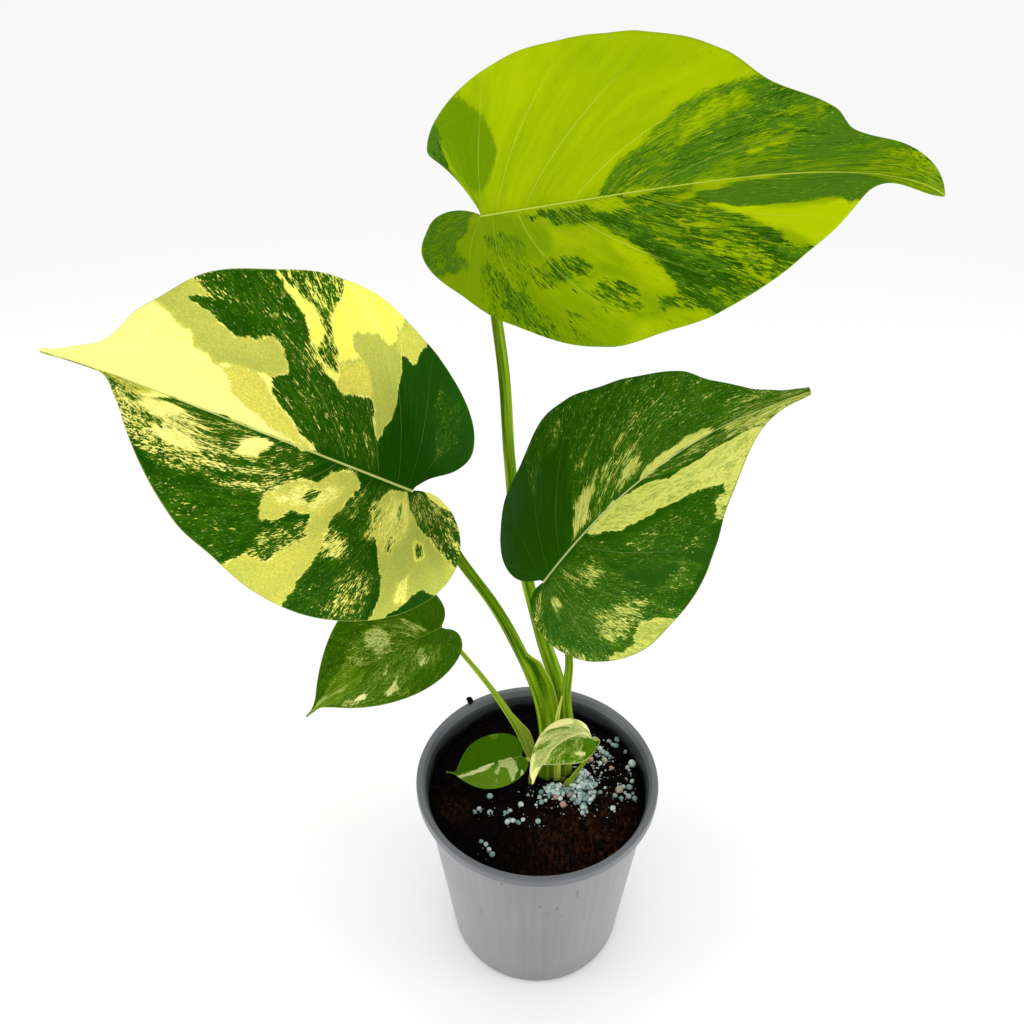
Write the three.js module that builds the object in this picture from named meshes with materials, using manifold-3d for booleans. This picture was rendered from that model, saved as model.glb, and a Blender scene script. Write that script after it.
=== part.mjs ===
// A potted aroid: six variegated heart-shaped leaves on sheathed stalks, in a grey nursery pot of peat.
// Millimetres, +Z up. The origin is the centre of the pot's foot, and the plant is seen from -Y.
import * as THREE from "three";
import { mergeVertices } from "three/addons/utils/BufferGeometryUtils.js";
import Module from "manifold-3d";

const wasm = await Module();
wasm.setup();

// Gap kept between pieces that touch.
const gap = 0.3;

// The pot: a tapered moulded wall with a rolled collar, a flat floor and a ring of drain holes.
const pot = {
  height: 110,
  rimRadius: 60,
  lipWidth: 2.6,
  collarHeight: 4.5,
  shoulderRadius: 56.2,
  footRadius: 45.7,
  wall: 1.3,
  floor: 1.6,
  footRounding: 2.4,
  edgeRounding: 0.8,
  drainHoles: 8,
  drainRadius: 3.4,
  drainCircle: 31,
  segments: 60,
};

// The peat: a block that fills the pot, slightly heaped round the stalks.
const peat = {
  level: 99.5,
  heap: 1.8,
  edgeDip: 2.2,
  lump: 0.8,
  rings: 7,
};

// The crown: the short stem in the peat that the main stalks stand on.
const crown = {
  x: 7, y: 11.5, top: 101, depth: 34,
  topRadius: 10.3, bottomRadius: 7, rounding: 3, sides: 20,
};

// Fertiliser granules: one pile round the small front stalk, and loose patches pressed into the peat.
const granule = { radius: 1.75, spread: 0.3, pitch: 3.1, jitter: 0.45 };
const pile = [
  { x: 23, y: -2.5, rx: 7, ry: 12, heap: 2.2 },
  { x: 10, y: -5, rx: 8, ry: 5, heap: 1.2 },
];
const patches = [
  { x: -8, y: -19, rx: 10, ry: 5, count: 9, seed: 11 },
  { x: 0, y: -11.5, rx: 6, ry: 4, count: 7, seed: 12 },
  { x: -25, y: -14, rx: 7, ry: 6, count: 5, seed: 13 },
  { x: -21.5, y: -38, rx: 4, ry: 5, count: 5, seed: 14 },
  { x: 44.5, y: -4, rx: 5.5, ry: 5, count: 8, seed: 15 },
  { x: 37, y: 27, rx: 8, ry: 8, count: 8, seed: 16 },
  { x: 33, y: 14, rx: 5, ry: 4, count: 4, seed: 17 },
];

// A loose crumb of peat lying on the rim.
const crumb = { x: -36.8, y: 46.2, radius: 2.4 };

// Leaf blades. "at" is where the stalk meets the midrib. The blade leaves it along heading and pitch,
// rolled about its midrib. Arch, sweep and twist bend the midrib in degrees, reached at the tip.
// A half runs from the notch round the lobe to the tip: back, lobe, half, wide, neck and neckHalf place
// its outline, fold is its rise at the midrib and curl how far it rolls down again at the margin.
const leaves = {
  leaf_top: {
    at: [-23, 34.5, 372], length: 160.5, heading: -24.5, pitch: 14, roll: 51,
    arch: 70, archPower: 5, sweep: -0.5, twist: 45, twistPower: 2, tipFold: -12.5,
    left: { back: 23.5, lobe: 28.5, open: 22, half: 55, wide: 30.5, neck: 118.5, neckHalf: 17,
      full: 0.4, tipFull: 9.5, fold: 15, curl: 7, drop: 1 },
    right: { back: 16.5, lobe: 7.5, open: -7, half: 53, wide: 57, neck: 130.5, neckHalf: 5.5,
      full: 0.49, tipFull: 4.5, fold: 24, curl: 29, drop: -7 },
    rows: 30, keel: 1.1, keelWidth: 2, colour: 0x8fae12,
  },
  leaf_left: {
    at: [-53, 11, 268], length: 151, heading: 225.5, pitch: 40, roll: -67.5,
    arch: 66.5, archPower: 1.69, sweep: -22, twist: -5.5, twistPower: 1, tipFold: 21.5,
    left: { back: 32, lobe: 17, open: -6, half: 58.5, wide: 37.5, neck: 120, neckHalf: 5.5,
      full: 0.57, tipFull: 0, fold: 8, curl: 16, drop: -2 },
    right: { back: 29, lobe: 26.5, open: 11.5, half: 63.5, wide: 46, neck: 125.5, neckHalf: 16.5,
      full: 0.7, tipFull: 0, fold: 9, curl: 10, drop: -1 },
    rows: 30, keel: 1.1, keelWidth: 2, colour: 0x8a9a3c,
  },
  leaf_right: {
    at: [2, -16, 243], length: 132, heading: -26, pitch: 62, roll: 50,
    arch: 25.5, archPower: 1.32, sweep: -22.5, twist: 7, twistPower: 1, tipFold: 20.5,
    left: { back: 19.5, lobe: 24.5, open: 7, half: 50, wide: 36, neck: 112, neckHalf: 10,
      full: 0.35, tipFull: 0, fold: 7, curl: 11, drop: 0.5 },
    right: { back: 12, lobe: 9, open: -4.5, half: 48.5, wide: 37.5, neck: 107, neckHalf: 13,
      full: 0.59, tipFull: 0, fold: 4, curl: 20, drop: -2.5 },
    rows: 27, keel: 1, keelWidth: 1.8, colour: 0x35621a,
  },
  leaf_low: {
    at: [-44, 9.5, 195.5], length: 72, heading: 210, pitch: -2, roll: -2,
    arch: 31.5, archPower: 0.61, sweep: -5, twist: 1, twistPower: 1, tipFold: 20,
    left: { back: 3.9, lobe: 9.9, open: 2, half: 30.1, wide: 20.2, neck: 62.1, neckHalf: 4.5,
      full: 0.56, tipFull: 0, fold: 14, curl: 18, drop: -0.7 },
    right: { back: 5.3, lobe: 11, open: 3, half: 32.6, wide: 19.4, neck: 62.9, neckHalf: 5.2,
      full: 0.48, tipFull: 0, fold: 19, curl: -14, drop: 0.2 },
    rows: 18, keel: 0.6, keelWidth: 1.2, colour: 0x3f7a1e,
  },
  leaf_small_left: {
    at: [-7.3, -4.9, 127.4], length: 37.5, heading: 194, pitch: -14, roll: 4,
    arch: -27.5, archPower: 2.55, sweep: -8, twist: -9.5, twistPower: 1, tipFold: 25.5,
    left: { back: 2, lobe: 6.2, open: 1.1, half: 15.5, wide: 11, neck: 33, neckHalf: 2.6,
      full: 0.63, tipFull: 0, fold: 14, curl: 13, drop: -0.5 },
    right: { back: 1.3, lobe: 6.5, open: 1.2, half: 15.9, wide: 11.3, neck: 32.1, neckHalf: 1.7,
      full: 0.72, tipFull: 0, fold: 15, curl: 0, drop: 0.7 },
    rows: 14, keel: 0.4, keelWidth: 0.9, colour: 0x4c8524,
  },
  leaf_small_front: {
    at: [24.6, -9.7, 147], length: 39.5, heading: 175.5, pitch: 50.5, roll: 43,
    arch: 120.5, archPower: 0.6, sweep: 35, twist: -11, twistPower: 1, tipFold: 34,
    left: { back: 1.3, lobe: 5.7, open: -1.6, half: 13.7, wide: 12.8, neck: 28.9, neckHalf: 1.4,
      full: 0.53, tipFull: 0, fold: -6, curl: 45, drop: -2.6 },
    right: { back: 3.7, lobe: 7.4, open: 1.6, half: 11, wide: 9.1, neck: 34.8, neckHalf: 3.7,
      full: 0.35, tipFull: 0, fold: 20, curl: -8, drop: 0.8 },
    rows: 16, keel: 0.4, keelWidth: 0.9, colour: 0x9cb46a,
  },
};
const bladeThickness = { large: 1, small: 0.8, margin: 0.7 };
const notchHalf = 1.2;
const tipHalf = 0.4;

// Stalks. The path runs from the crown or the peat up to the blade that the stalk carries.
// Radii and wing are pairs of (share of the path, millimetres); the wing is the sheath's flap at +X.
const stalks = {
  stalk_top: {
    leaf: "leaf_top",
    path: [[12, 18, 101], [12, 19.5, 139.5], [1, 23, 182.5], [-9.5, 29.5, 230], [-13.5, 33.5, 270],
      [-15.5, 35.5, 308], [-19.5, 36.5, 345.5]],
    radius: [[0, 3.9], [0.15, 3.8], [0.4, 2.9], [0.7, 2.4], [1, 2]],
    wing: [[0, 0], [1, 0]],
    colour: 0x6b9a1c,
  },
  stalk_left: {
    leaf: "leaf_left",
    path: [[5, 6, 101], [4.5, 7, 124.5], [1, 7.5, 154], [-9.5, 8.5, 186], [-20.5, 10.5, 209.5],
      [-34, 17, 227], [-46.5, 19, 250]],
    radius: [[0, 4.2], [0.2, 3.2], [0.45, 2.7], [0.7, 2.4], [1, 2]],
    wing: [[0, 0.2], [0.1, 2.4], [0.2, 4.2], [0.33, 5], [0.4, 4.2], [0.45, 0], [1, 0]],
    colour: 0x5f9418,
  },
  stalk_right: {
    leaf: "leaf_right",
    path: [[14, 8.5, 101], [14.5, 8.5, 115.5], [15, 8, 135], [13.5, 6.5, 159], [14, 3.5, 181],
      [12, -1.5, 203], [6.5, -9, 226]],
    radius: [[0, 3.7], [0.12, 3.4], [0.35, 2.2], [0.6, 1.8], [1, 1.7]],
    wing: [[0, 0], [1, 0]],
    colour: 0x5c9220,
  },
  stalk_low: {
    leaf: "leaf_low",
    path: [[0.5, 12.6, 101], [-4, 13.5, 110], [-9, 14.5, 123.5], [-16.5, 14.5, 140.5],
      [-23.5, 13.5, 155.5], [-30.5, 12, 169.5], [-38.5, 10.5, 184]],
    radius: [[0, 2.9], [0.15, 2.2], [0.35, 1.8], [0.6, 1.3], [1, 1]],
    wing: [[0, 0], [0.08, 1.6], [0.22, 2.6], [0.32, 1], [0.36, 0], [1, 0]],
    colour: 0x6a9c22,
  },
  stalk_small_left: {
    leaf: "leaf_small_left",
    path: [[-2.5, 1.5, 90], [-2.5, 1.5, 97], [-2.5, 1.4, 104], [-1.8, 0.5, 112], [-2.5, -0.9, 118.5],
      [-4.6, -2.8, 123]],
    radius: [[0, 1.8], [0.4, 1.6], [1, 0.9]],
    wing: [[0, 0], [1, 0]],
    colour: 0x8fb33a,
  },
  stalk_small_front: {
    leaf: "leaf_small_front",
    path: [[14.8, 0.6, 90], [14.8, 0.6, 97], [16, -0.4, 103.5], [18, -2, 110], [20.5, -4, 118],
      [22.5, -6, 125], [24, -7.7, 132.5], [24.2, -9.3, 140]],
    radius: [[0, 2.3], [0.2, 2.2], [0.3, 1.3], [0.6, 0.95], [1, 0.8]],
    wing: [[0, 0], [1, 0]],
    colour: 0x8bb040,
  },
};

// A slim pale sheath that stands on the crown between the left and the right stalk.
const sheathTip = {
  path: [[10.2, 2.7, 101], [10, 2.4, 124], [9.4, 2.3, 146], [11.2, 2.3, 161]],
  radius: [[0, 1.9], [0.5, 1.6], [0.75, 1.3], [1, 0.5]],
  flatten: 0.5,
  colour: 0xc9cf6e,
};

const radians = THREE.MathUtils.degToRad;

// A repeatable draw between 0 and 1.
const draw = (seed) => {
  const value = Math.sin(seed * 12.9898) * 43758.5453;
  return value - Math.floor(value);
};

// Value at "share" of a list of (share, value) pairs, eased between neighbours.
function along(pairs, share) {
  let i = 0;
  while (i < pairs.length - 2 && share > pairs[i + 1][0]) i += 1;
  const [from, to] = [pairs[i], pairs[i + 1]];
  const t = THREE.MathUtils.smoothstep(share, from[0], to[0]);
  return from[1] + (to[1] - from[1]) * t;
}

// Closed geometry to solid and back.
function solid(geometry) {
  const plain = geometry.index ? geometry.toNonIndexed() : geometry.clone();
  plain.deleteAttribute("normal");
  plain.deleteAttribute("uv");
  const merged = mergeVertices(plain, 1e-4);
  const source = merged.index.array;
  const kept = [];
  for (let i = 0; i < source.length; i += 3) {
    const [a, b, c] = [source[i], source[i + 1], source[i + 2]];
    if (a !== b && b !== c && c !== a) kept.push(a, b, c);
  }
  return new wasm.Manifold(new wasm.Mesh({
    numProp: 3,
    vertProperties: merged.attributes.position.array,
    triVerts: new Uint32Array(kept),
  }));
}

function geometryOf(body) {
  const mesh = body.getMesh();
  const geometry = new THREE.BufferGeometry();
  geometry.setAttribute("position", new THREE.BufferAttribute(mesh.vertProperties, 3));
  geometry.setIndex(new THREE.BufferAttribute(mesh.triVerts, 1));
  geometry.computeVertexNormals();
  return geometry;
}

function fromTriangles(points, triangles) {
  const geometry = new THREE.BufferGeometry();
  const numbers = points.flatMap((point) => [point.x, point.y, point.z]);
  geometry.setAttribute("position", new THREE.Float32BufferAttribute(numbers, 3));
  geometry.setIndex(triangles);
  geometry.computeVertexNormals();
  return geometry;
}

// Two triangles for each cell of a grid of vertex numbers.
function cellFaces(a, b, c, d) {
  return [a, b, c, a, c, d];
}

// Turns a profile of [radius, height] about Z.
function lathe(profile, segments) {
  const geometry = new THREE.LatheGeometry(profile.map(([r, h]) => new THREE.Vector2(r, h)), segments);
  return geometry.rotateX(Math.PI / 2);
}

function uprightCylinder(x, y, bottom, top, radius, sides) {
  const geometry = new THREE.CylinderGeometry(radius, radius, top - bottom, sides);
  geometry.rotateX(Math.PI / 2);
  return geometry.translate(x, y, (top + bottom) / 2);
}

// Pot

const innerRadius = (height) => {
  const share = height / (pot.height - pot.collarHeight);
  return pot.footRadius - pot.wall + (pot.shoulderRadius - pot.footRadius) * share;
};

function potBody() {
  const { height, rimRadius, lipWidth, collarHeight, shoulderRadius, footRadius, footRounding } = pot;
  const under = height - collarHeight;
  const edge = pot.edgeRounding;
  const profile = [
    [0, 0],
    [footRadius - footRounding, 0],
    [footRadius - 0.3 * footRounding, 0.3 * footRounding],
    [footRadius, footRounding],
    [shoulderRadius, under - edge],
    [shoulderRadius + edge, under],
    [rimRadius - edge, under],
    [rimRadius, under + edge],
    [rimRadius, height - edge],
    [rimRadius - edge, height],
    [rimRadius - lipWidth, height],
    [rimRadius - lipWidth - edge, height - edge],
    [innerRadius(under), under - edge],
    [innerRadius(under - collarHeight), under - collarHeight],
    [innerRadius(pot.floor), pot.floor],
    [0, pot.floor],
  ];
  let body = solid(lathe(profile, pot.segments));
  for (let i = 0; i < pot.drainHoles; i += 1) {
    const angle = ((i + 0.5) / pot.drainHoles) * 2 * Math.PI;
    const x = pot.drainCircle * Math.cos(angle);
    const y = pot.drainCircle * Math.sin(angle);
    body = body.subtract(solid(uprightCylinder(x, y, -1, pot.floor + 1, pot.drainRadius, 12)));
  }
  return geometryOf(body);
}

// Peat

// Height of the peat's surface: a low heap that dips at the wall, with soft lumps.
function peatHeight(x, y) {
  const share = Math.min(1, Math.hypot(x, y) / innerRadius(peat.level));
  const heap = peat.heap * Math.cos((share * Math.PI) / 2) - peat.edgeDip * share ** 6;
  const broad = Math.sin(0.31 * x + 1.3) * Math.sin(0.27 * y + 0.4);
  const fine = Math.sin(0.71 * x + 0.2) * Math.sin(0.63 * y + 2);
  return peat.level + heap + peat.lump * (0.6 * broad + 0.4 * fine);
}

// The peat's block: a polar grid on top, a tapered side against the pot's wall and a flat underside.
function peatBlock(raise = 0) {
  const points = [];
  const triangles = [];
  const { segments } = pot;
  const direction = (j) => {
    const angle = (j / segments) * 2 * Math.PI;
    return [Math.sin(angle), -Math.cos(angle)];
  };
  points.push(new THREE.Vector3(0, 0, peatHeight(0, 0) + raise));
  for (let i = 1; i <= peat.rings; i += 1) {
    for (let j = 0; j < segments; j += 1) {
      const [cx, cy] = direction(j);
      let r = innerRadius(peat.level) * (i / peat.rings);
      let z = peatHeight(r * cx, r * cy);
      if (i === peat.rings) {
        r = innerRadius(z) - gap;
        z = peatHeight(r * cx, r * cy);
      }
      points.push(new THREE.Vector3(r * cx, r * cy, z + raise));
    }
  }
  const under = pot.floor + gap;
  const footRing = points.length;
  for (let j = 0; j < segments; j += 1) {
    const [cx, cy] = direction(j);
    const r = innerRadius(under) - gap;
    points.push(new THREE.Vector3(r * cx, r * cy, under));
  }
  points.push(new THREE.Vector3(0, 0, under));
  const ring = (i, j) => 1 + (i - 1) * segments + (j % segments);
  for (let j = 0; j < segments; j += 1) {
    triangles.push(0, ring(1, j), ring(1, j + 1));
    for (let i = 1; i <= peat.rings; i += 1) {
      triangles.push(...cellFaces(ring(i, j), ring(i + 1, j), ring(i + 1, j + 1), ring(i, j + 1)));
    }
    triangles.push(footRing + j, points.length - 1, footRing + ((j + 1) % segments));
  }
  return fromTriangles(points, triangles);
}

// How far the pile lifts a grain at (x, y), or -1 outside it. "room" widens the pile.
function pileLift(x, y, room = 0) {
  const lifts = pile.map((part) => {
    const away = ((x - part.x) / (part.rx + room)) ** 2 + ((y - part.y) / (part.ry + room)) ** 2;
    return away < 1 ? part.heap * (1 - away) : -1;
  });
  return Math.max(...lifts);
}

function grain(x, y, z, radius) {
  return new THREE.IcosahedronGeometry(radius, 0).rotateZ(x + y).rotateX(x * y).translate(x, y, z);
}

// Crown profile, grown by "extra" for the hole that it stands in.
function crownBody(extra = 0, top = crown.top) {
  const bottom = crown.top - crown.depth - extra;
  const profile = [
    [0, bottom],
    [crown.bottomRadius - crown.rounding + extra, bottom],
    [crown.bottomRadius + extra, bottom + crown.rounding],
    [crown.topRadius + extra, crown.top - 2 * crown.rounding],
    [crown.topRadius + extra, top],
    [0, top],
  ];
  return lathe(profile, crown.sides).translate(crown.x, crown.y, 0);
}

function peatBody() {
  const above = pot.height + 5;
  let body = solid(peatBlock());
  for (const patch of patches) {
    for (let i = 0; i < patch.count; i += 1) {
      const turn = 2 * Math.PI * draw(patch.seed * 31 + i * 3);
      const reach = Math.sqrt(draw(patch.seed * 31 + i * 3 + 1));
      const radius = granule.radius + granule.spread * (2 * draw(patch.seed * 31 + i * 3 + 2) - 1);
      const x = patch.x + patch.rx * reach * Math.cos(turn);
      const y = patch.y + patch.ry * reach * Math.sin(turn);
      if (pileLift(x, y, 2 * granule.radius + 2) >= 0) continue;
      body = body.add(solid(grain(x, y, peatHeight(x, y) + 0.35 * radius, radius)));
    }
  }
  body = body.subtract(solid(crownBody(gap + 0.1, above)));
  for (const name of ["stalk_small_left", "stalk_small_front"]) {
    const [x, y, z] = stalks[name].path[0];
    const radius = stalks[name].radius[0][1] + gap + 0.5;
    body = body.subtract(solid(uprightCylinder(x, y, z - gap, above, radius, 14)));
  }
  return geometryOf(body);
}

// The granule pile: grains on a jittered honeycomb, heaped towards the middle of each part of the pile.
function pileBody() {
  const cores = pile.map((part) => {
    const core = new THREE.SphereGeometry(1, 12, 6);
    core.scale(part.rx - granule.radius, part.ry - granule.radius, part.heap + granule.radius);
    return solid(core.translate(part.x, part.y, peatHeight(part.x, part.y)));
  });
  let body = cores[0].add(cores[1]);
  const { pitch } = granule;
  let number = 0;
  for (let row = -6; row <= 6; row += 1) {
    for (let column = -8; column <= 8; column += 1) {
      number += 1;
      const wobble = granule.jitter * (2 * draw(number) - 1);
      const x = 16 + pitch * (column + (row % 2 ? 0.5 : 0)) + wobble;
      const y = -3 + pitch * 0.866 * row + granule.jitter * (2 * draw(number + 500) - 1);
      const lift = pileLift(x, y);
      if (lift < 0) continue;
      const radius = granule.radius + granule.spread * draw(number + 900);
      body = body.add(solid(grain(x, y, peatHeight(x, y) + 0.5 * radius + lift, radius)));
    }
  }
  body = body.subtract(solid(peatBlock(gap)));
  body = body.subtract(solid(crownBody(gap + 0.1, pot.height + 5)));
  for (const name of ["stalk_left", "stalk_right", "stalk_small_left", "stalk_small_front"]) {
    body = body.subtract(stalkSolid(stalks[name], gap + 0.1));
  }
  return geometryOf(largest(body));
}

function largest(body) {
  return body.decompose().sort((a, b) => b.volume() - a.volume())[0];
}

function crumbBody() {
  const lump = solid(grain(0, 0, 0, crumb.radius).scale(1, 1.15, 0.9));
  const size = 4 * crumb.radius;
  const below = new THREE.BoxGeometry(size, size, size).translate(0, 0, -0.5 * (size + crumb.radius));
  const seat = pot.height + gap + 0.5 * crumb.radius;
  return geometryOf(lump.subtract(solid(below))).translate(crumb.x, crumb.y, seat);
}

// Leaf blades

// Points of a cubic curve through its four control points.
function cubic(controls, count) {
  const [a, b, c, d] = controls.map(([x, y]) => new THREE.Vector2(x, y));
  return new THREE.CubicBezierCurve(a, b, c, d).getPoints(count);
}

// Flat outline of one half, from the notch round the lobe to the tip, as points evenly spaced along it.
// Each point is (distance along the midrib, distance from it).
function halfOutline(length, half, count) {
  const { back, lobe, open, wide, neck, neckHalf, full, tipFull } = half;
  const crest = half.half;
  const bend = [wide + full * (neck - wide), crest];
  const slope = new THREE.Vector2(neck - bend[0], neckHalf - bend[1]).normalize();
  const tail = length - neck;
  const pull = (from, to) => from + (2 / 3) * (to - from);
  const curves = [
    [[0, notchHalf], [-0.55 * back, open], [-back, open + 0.45 * (lobe - open)], [-back, lobe]],
    [[-back, lobe], [-back, lobe + 0.55 * (crest - lobe)], [wide - 0.55 * (wide + back), crest],
      [wide, crest]],
    [[wide, crest], [pull(wide, bend[0]), crest], [pull(neck, bend[0]), pull(neckHalf, bend[1])],
      [neck, neckHalf]],
    [[neck, neckHalf], [neck + slope.x * 0.42 * tail, neckHalf + slope.y * 0.42 * tail],
      [length - 0.4 * tail, tipHalf + tipFull], [length, tipHalf]],
  ];
  const dense = [];
  curves.forEach((controls, i) => dense.push(...cubic(controls, 60).slice(i ? 1 : 0)));
  const walked = [0];
  for (let i = 1; i < dense.length; i += 1) {
    walked.push(walked[i - 1] + dense[i].distanceTo(dense[i - 1]));
  }
  const points = [];
  let at = 0;
  for (let i = 0; i <= count; i += 1) {
    const target = (walked.at(-1) * i) / count;
    while (at < dense.length - 2 && walked[at + 1] < target) at += 1;
    const share = (target - walked[at]) / (walked[at + 1] - walked[at]);
    points.push(dense[at].clone().lerp(dense[at + 1], Math.min(1, share)));
  }
  return points;
}

// The midrib's bent line: a frame (centre, along, across, up) at any distance x from the stalk.
function midribOf(leaf) {
  const steps = 120;
  const frames = [];
  const centre = new THREE.Vector3();
  for (let i = 0; i <= steps; i += 1) {
    const share = i / steps;
    const droop = radians(leaf.arch) * share ** leaf.archPower;
    const swing = radians(leaf.sweep) * share * share;
    const turn = radians(leaf.twist) * share ** leaf.twistPower;
    const ahead = new THREE.Vector3(
      Math.cos(droop) * Math.cos(swing), Math.cos(droop) * Math.sin(swing), -Math.sin(droop));
    const level = new THREE.Vector3(-Math.sin(swing), Math.cos(swing), 0);
    const normal = ahead.clone().cross(level);
    const across = level.clone().multiplyScalar(Math.cos(turn)).addScaledVector(normal, Math.sin(turn));
    const up = normal.multiplyScalar(Math.cos(turn)).addScaledVector(level, -Math.sin(turn));
    if (i > 0) centre.addScaledVector(frames[i - 1].ahead.clone().add(ahead), leaf.length / steps / 2);
    frames.push({ centre: centre.clone(), ahead, across, up });
  }
  return (x) => {
    const place = THREE.MathUtils.clamp(x / leaf.length, 0, 1) * steps;
    const low = Math.min(steps - 1, Math.floor(place));
    const [a, b, t] = [frames[low], frames[low + 1], place - low];
    const mix = (key) => a[key].clone().lerp(b[key], t);
    return { centre: mix("centre"), ahead: mix("ahead"), across: mix("across"), up: mix("up") };
  };
}

// A flat point of one half bent into the leaf's shape. Seen across the midrib, the half rises by its
// fold and rolls down by its curl on a circular arc. Behind the stalk it follows the first direction.
function bentPoint(leaf, midrib, side, x, y) {
  const half = side > 0 ? leaf.left : leaf.right;
  const frame = midrib(x);
  const behind = Math.min(x, 0);
  const share = THREE.MathUtils.clamp(x / leaf.length, 0, 1);
  const rise = radians(half.fold + leaf.tipFold * share ** 3);
  const bend = radians(half.curl || 0.01) / half.half;
  const out = (Math.sin(rise) - Math.sin(rise - bend * y)) / bend;
  const lift = (Math.cos(rise - bend * y) - Math.cos(rise)) / bend;
  const drop = half.drop * (behind / half.back) ** 2;
  return frame.centre
    .addScaledVector(frame.ahead, behind)
    .addScaledVector(frame.across, side * out)
    .addScaledVector(frame.up, lift - drop);
}

function bentNormal(leaf, midrib, side, x, y) {
  const step = 0.05;
  const dx = bentPoint(leaf, midrib, side, x + step, y).sub(bentPoint(leaf, midrib, side, x - step, y));
  const dy = bentPoint(leaf, midrib, side, x, y + step).sub(bentPoint(leaf, midrib, side, x, y - step));
  return dx.cross(dy).multiplyScalar(side).normalize();
}

// Shares of the way from the midrib to the margin at which a blade has its points.
const columns = [0, 0.08, 0.27, 0.5, 0.75, 1];

// A blade is a grid: a row for each vein, which runs from the midrib to the margin, over both halves.
// The same grid is set above and below the bent surface, and the midrib's keel thickens the underside.
function bladeGeometry(leaf) {
  const midrib = midribOf(leaf);
  const thick = leaf.length > 60 ? bladeThickness.large : bladeThickness.small;
  const last = columns.length - 1;
  const width = 2 * last + 1;
  const upper = [];
  const lower = [];
  const outlines = [leaf.right, leaf.left].map((half) => halfOutline(leaf.length, half, leaf.rows));
  for (let row = 0; row <= leaf.rows; row += 1) {
    const share = row / leaf.rows;
    const root = leaf.length * (0.04 * share + 0.96 * share ** 2.6);
    for (let column = -last; column <= last; column += 1) {
      const side = column < 0 ? -1 : 1;
      const t = columns[Math.abs(column)];
      const edge = outlines[side > 0 ? 1 : 0][row];
      const x = (1 - t) ** 2 * root + 2 * t * (1 - t) * (root + 0.25 * (edge.x - root)) + t * t * edge.x;
      const y = 2 * t * (1 - t) * 0.6 * edge.y + t * t * edge.y;
      const point = bentPoint(leaf, midrib, side, x, y);
      const normal = bentNormal(leaf, midrib, side, x, y);
      if (column === 0) normal.add(bentNormal(leaf, midrib, -1, x, y)).normalize();
      const half = (thick + (bladeThickness.margin - thick) * t) / 2;
      const away = Math.hypot(Math.min(x, 0), y) / leaf.keelWidth;
      const keel = leaf.keel * (1 - THREE.MathUtils.clamp(x / leaf.length, 0, 1)) ** 0.8;
      upper.push(point.clone().addScaledVector(normal, half));
      lower.push(point.addScaledVector(normal, -half - keel * Math.exp(-away * away)));
    }
  }
  const under = upper.length;
  const id = (row, column) => row * width + column;
  const triangles = [];
  for (let row = 0; row < leaf.rows; row += 1) {
    for (let column = 0; column < width - 1; column += 1) {
      const [a, b] = [id(row, column), id(row + 1, column)];
      const [c, d] = [id(row + 1, column + 1), id(row, column + 1)];
      triangles.push(...cellFaces(a, b, c, d));
      triangles.push(...cellFaces(d + under, c + under, b + under, a + under));
    }
    const [a, b] = [id(row, 0), id(row + 1, 0)];
    triangles.push(...cellFaces(a, a + under, b + under, b));
    const [c, d] = [id(row, width - 1), id(row + 1, width - 1)];
    triangles.push(...cellFaces(d, d + under, c + under, c));
  }
  for (let column = 0; column < width - 1; column += 1) {
    const [a, b] = [id(0, column), id(0, column + 1)];
    triangles.push(...cellFaces(b, b + under, a + under, a));
    const [c, d] = [id(leaf.rows, column), id(leaf.rows, column + 1)];
    triangles.push(...cellFaces(c, c + under, d + under, d));
  }
  return fromTriangles(upper.concat(lower), triangles);
}

// Directions of a blade at its stalk: ahead along the midrib, across to its left half, and up.
function leafAxes(leaf) {
  const [heading, pitch, roll] = [radians(leaf.heading), radians(leaf.pitch), radians(leaf.roll)];
  const ahead = new THREE.Vector3(
    Math.cos(heading) * Math.cos(pitch), Math.sin(heading) * Math.cos(pitch), Math.sin(pitch));
  const level = new THREE.Vector3(-Math.sin(heading), Math.cos(heading), 0);
  const normal = ahead.clone().cross(level);
  const across = level.clone().multiplyScalar(Math.cos(roll)).addScaledVector(normal, Math.sin(roll));
  const up = normal.multiplyScalar(Math.cos(roll)).addScaledVector(level, -Math.sin(roll));
  return { ahead, across, up };
}

function blade(name) {
  const leaf = leaves[name];
  const { ahead, across, up } = leafAxes(leaf);
  const mesh = piece(name, bladeGeometry(leaf), leaf.colour, 0.4);
  mesh.position.set(...leaf.at);
  mesh.quaternion.setFromRotationMatrix(new THREE.Matrix4().makeBasis(ahead, across, up));
  return mesh;
}

// Stalks

// Longest step between two rings of a stem.
const stemStep = 9;

// Where a stalk's rounded end lies: just under the keel of its blade.
function seatUnder(leaf, radius) {
  const { ahead, up } = leafAxes(leaf);
  const thick = leaf.length > 60 ? bladeThickness.large : bladeThickness.small;
  return new THREE.Vector3(...leaf.at)
    .addScaledVector(ahead, 1)
    .addScaledVector(up, -(thick / 2 + leaf.keel + gap + radius));
}

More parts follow.
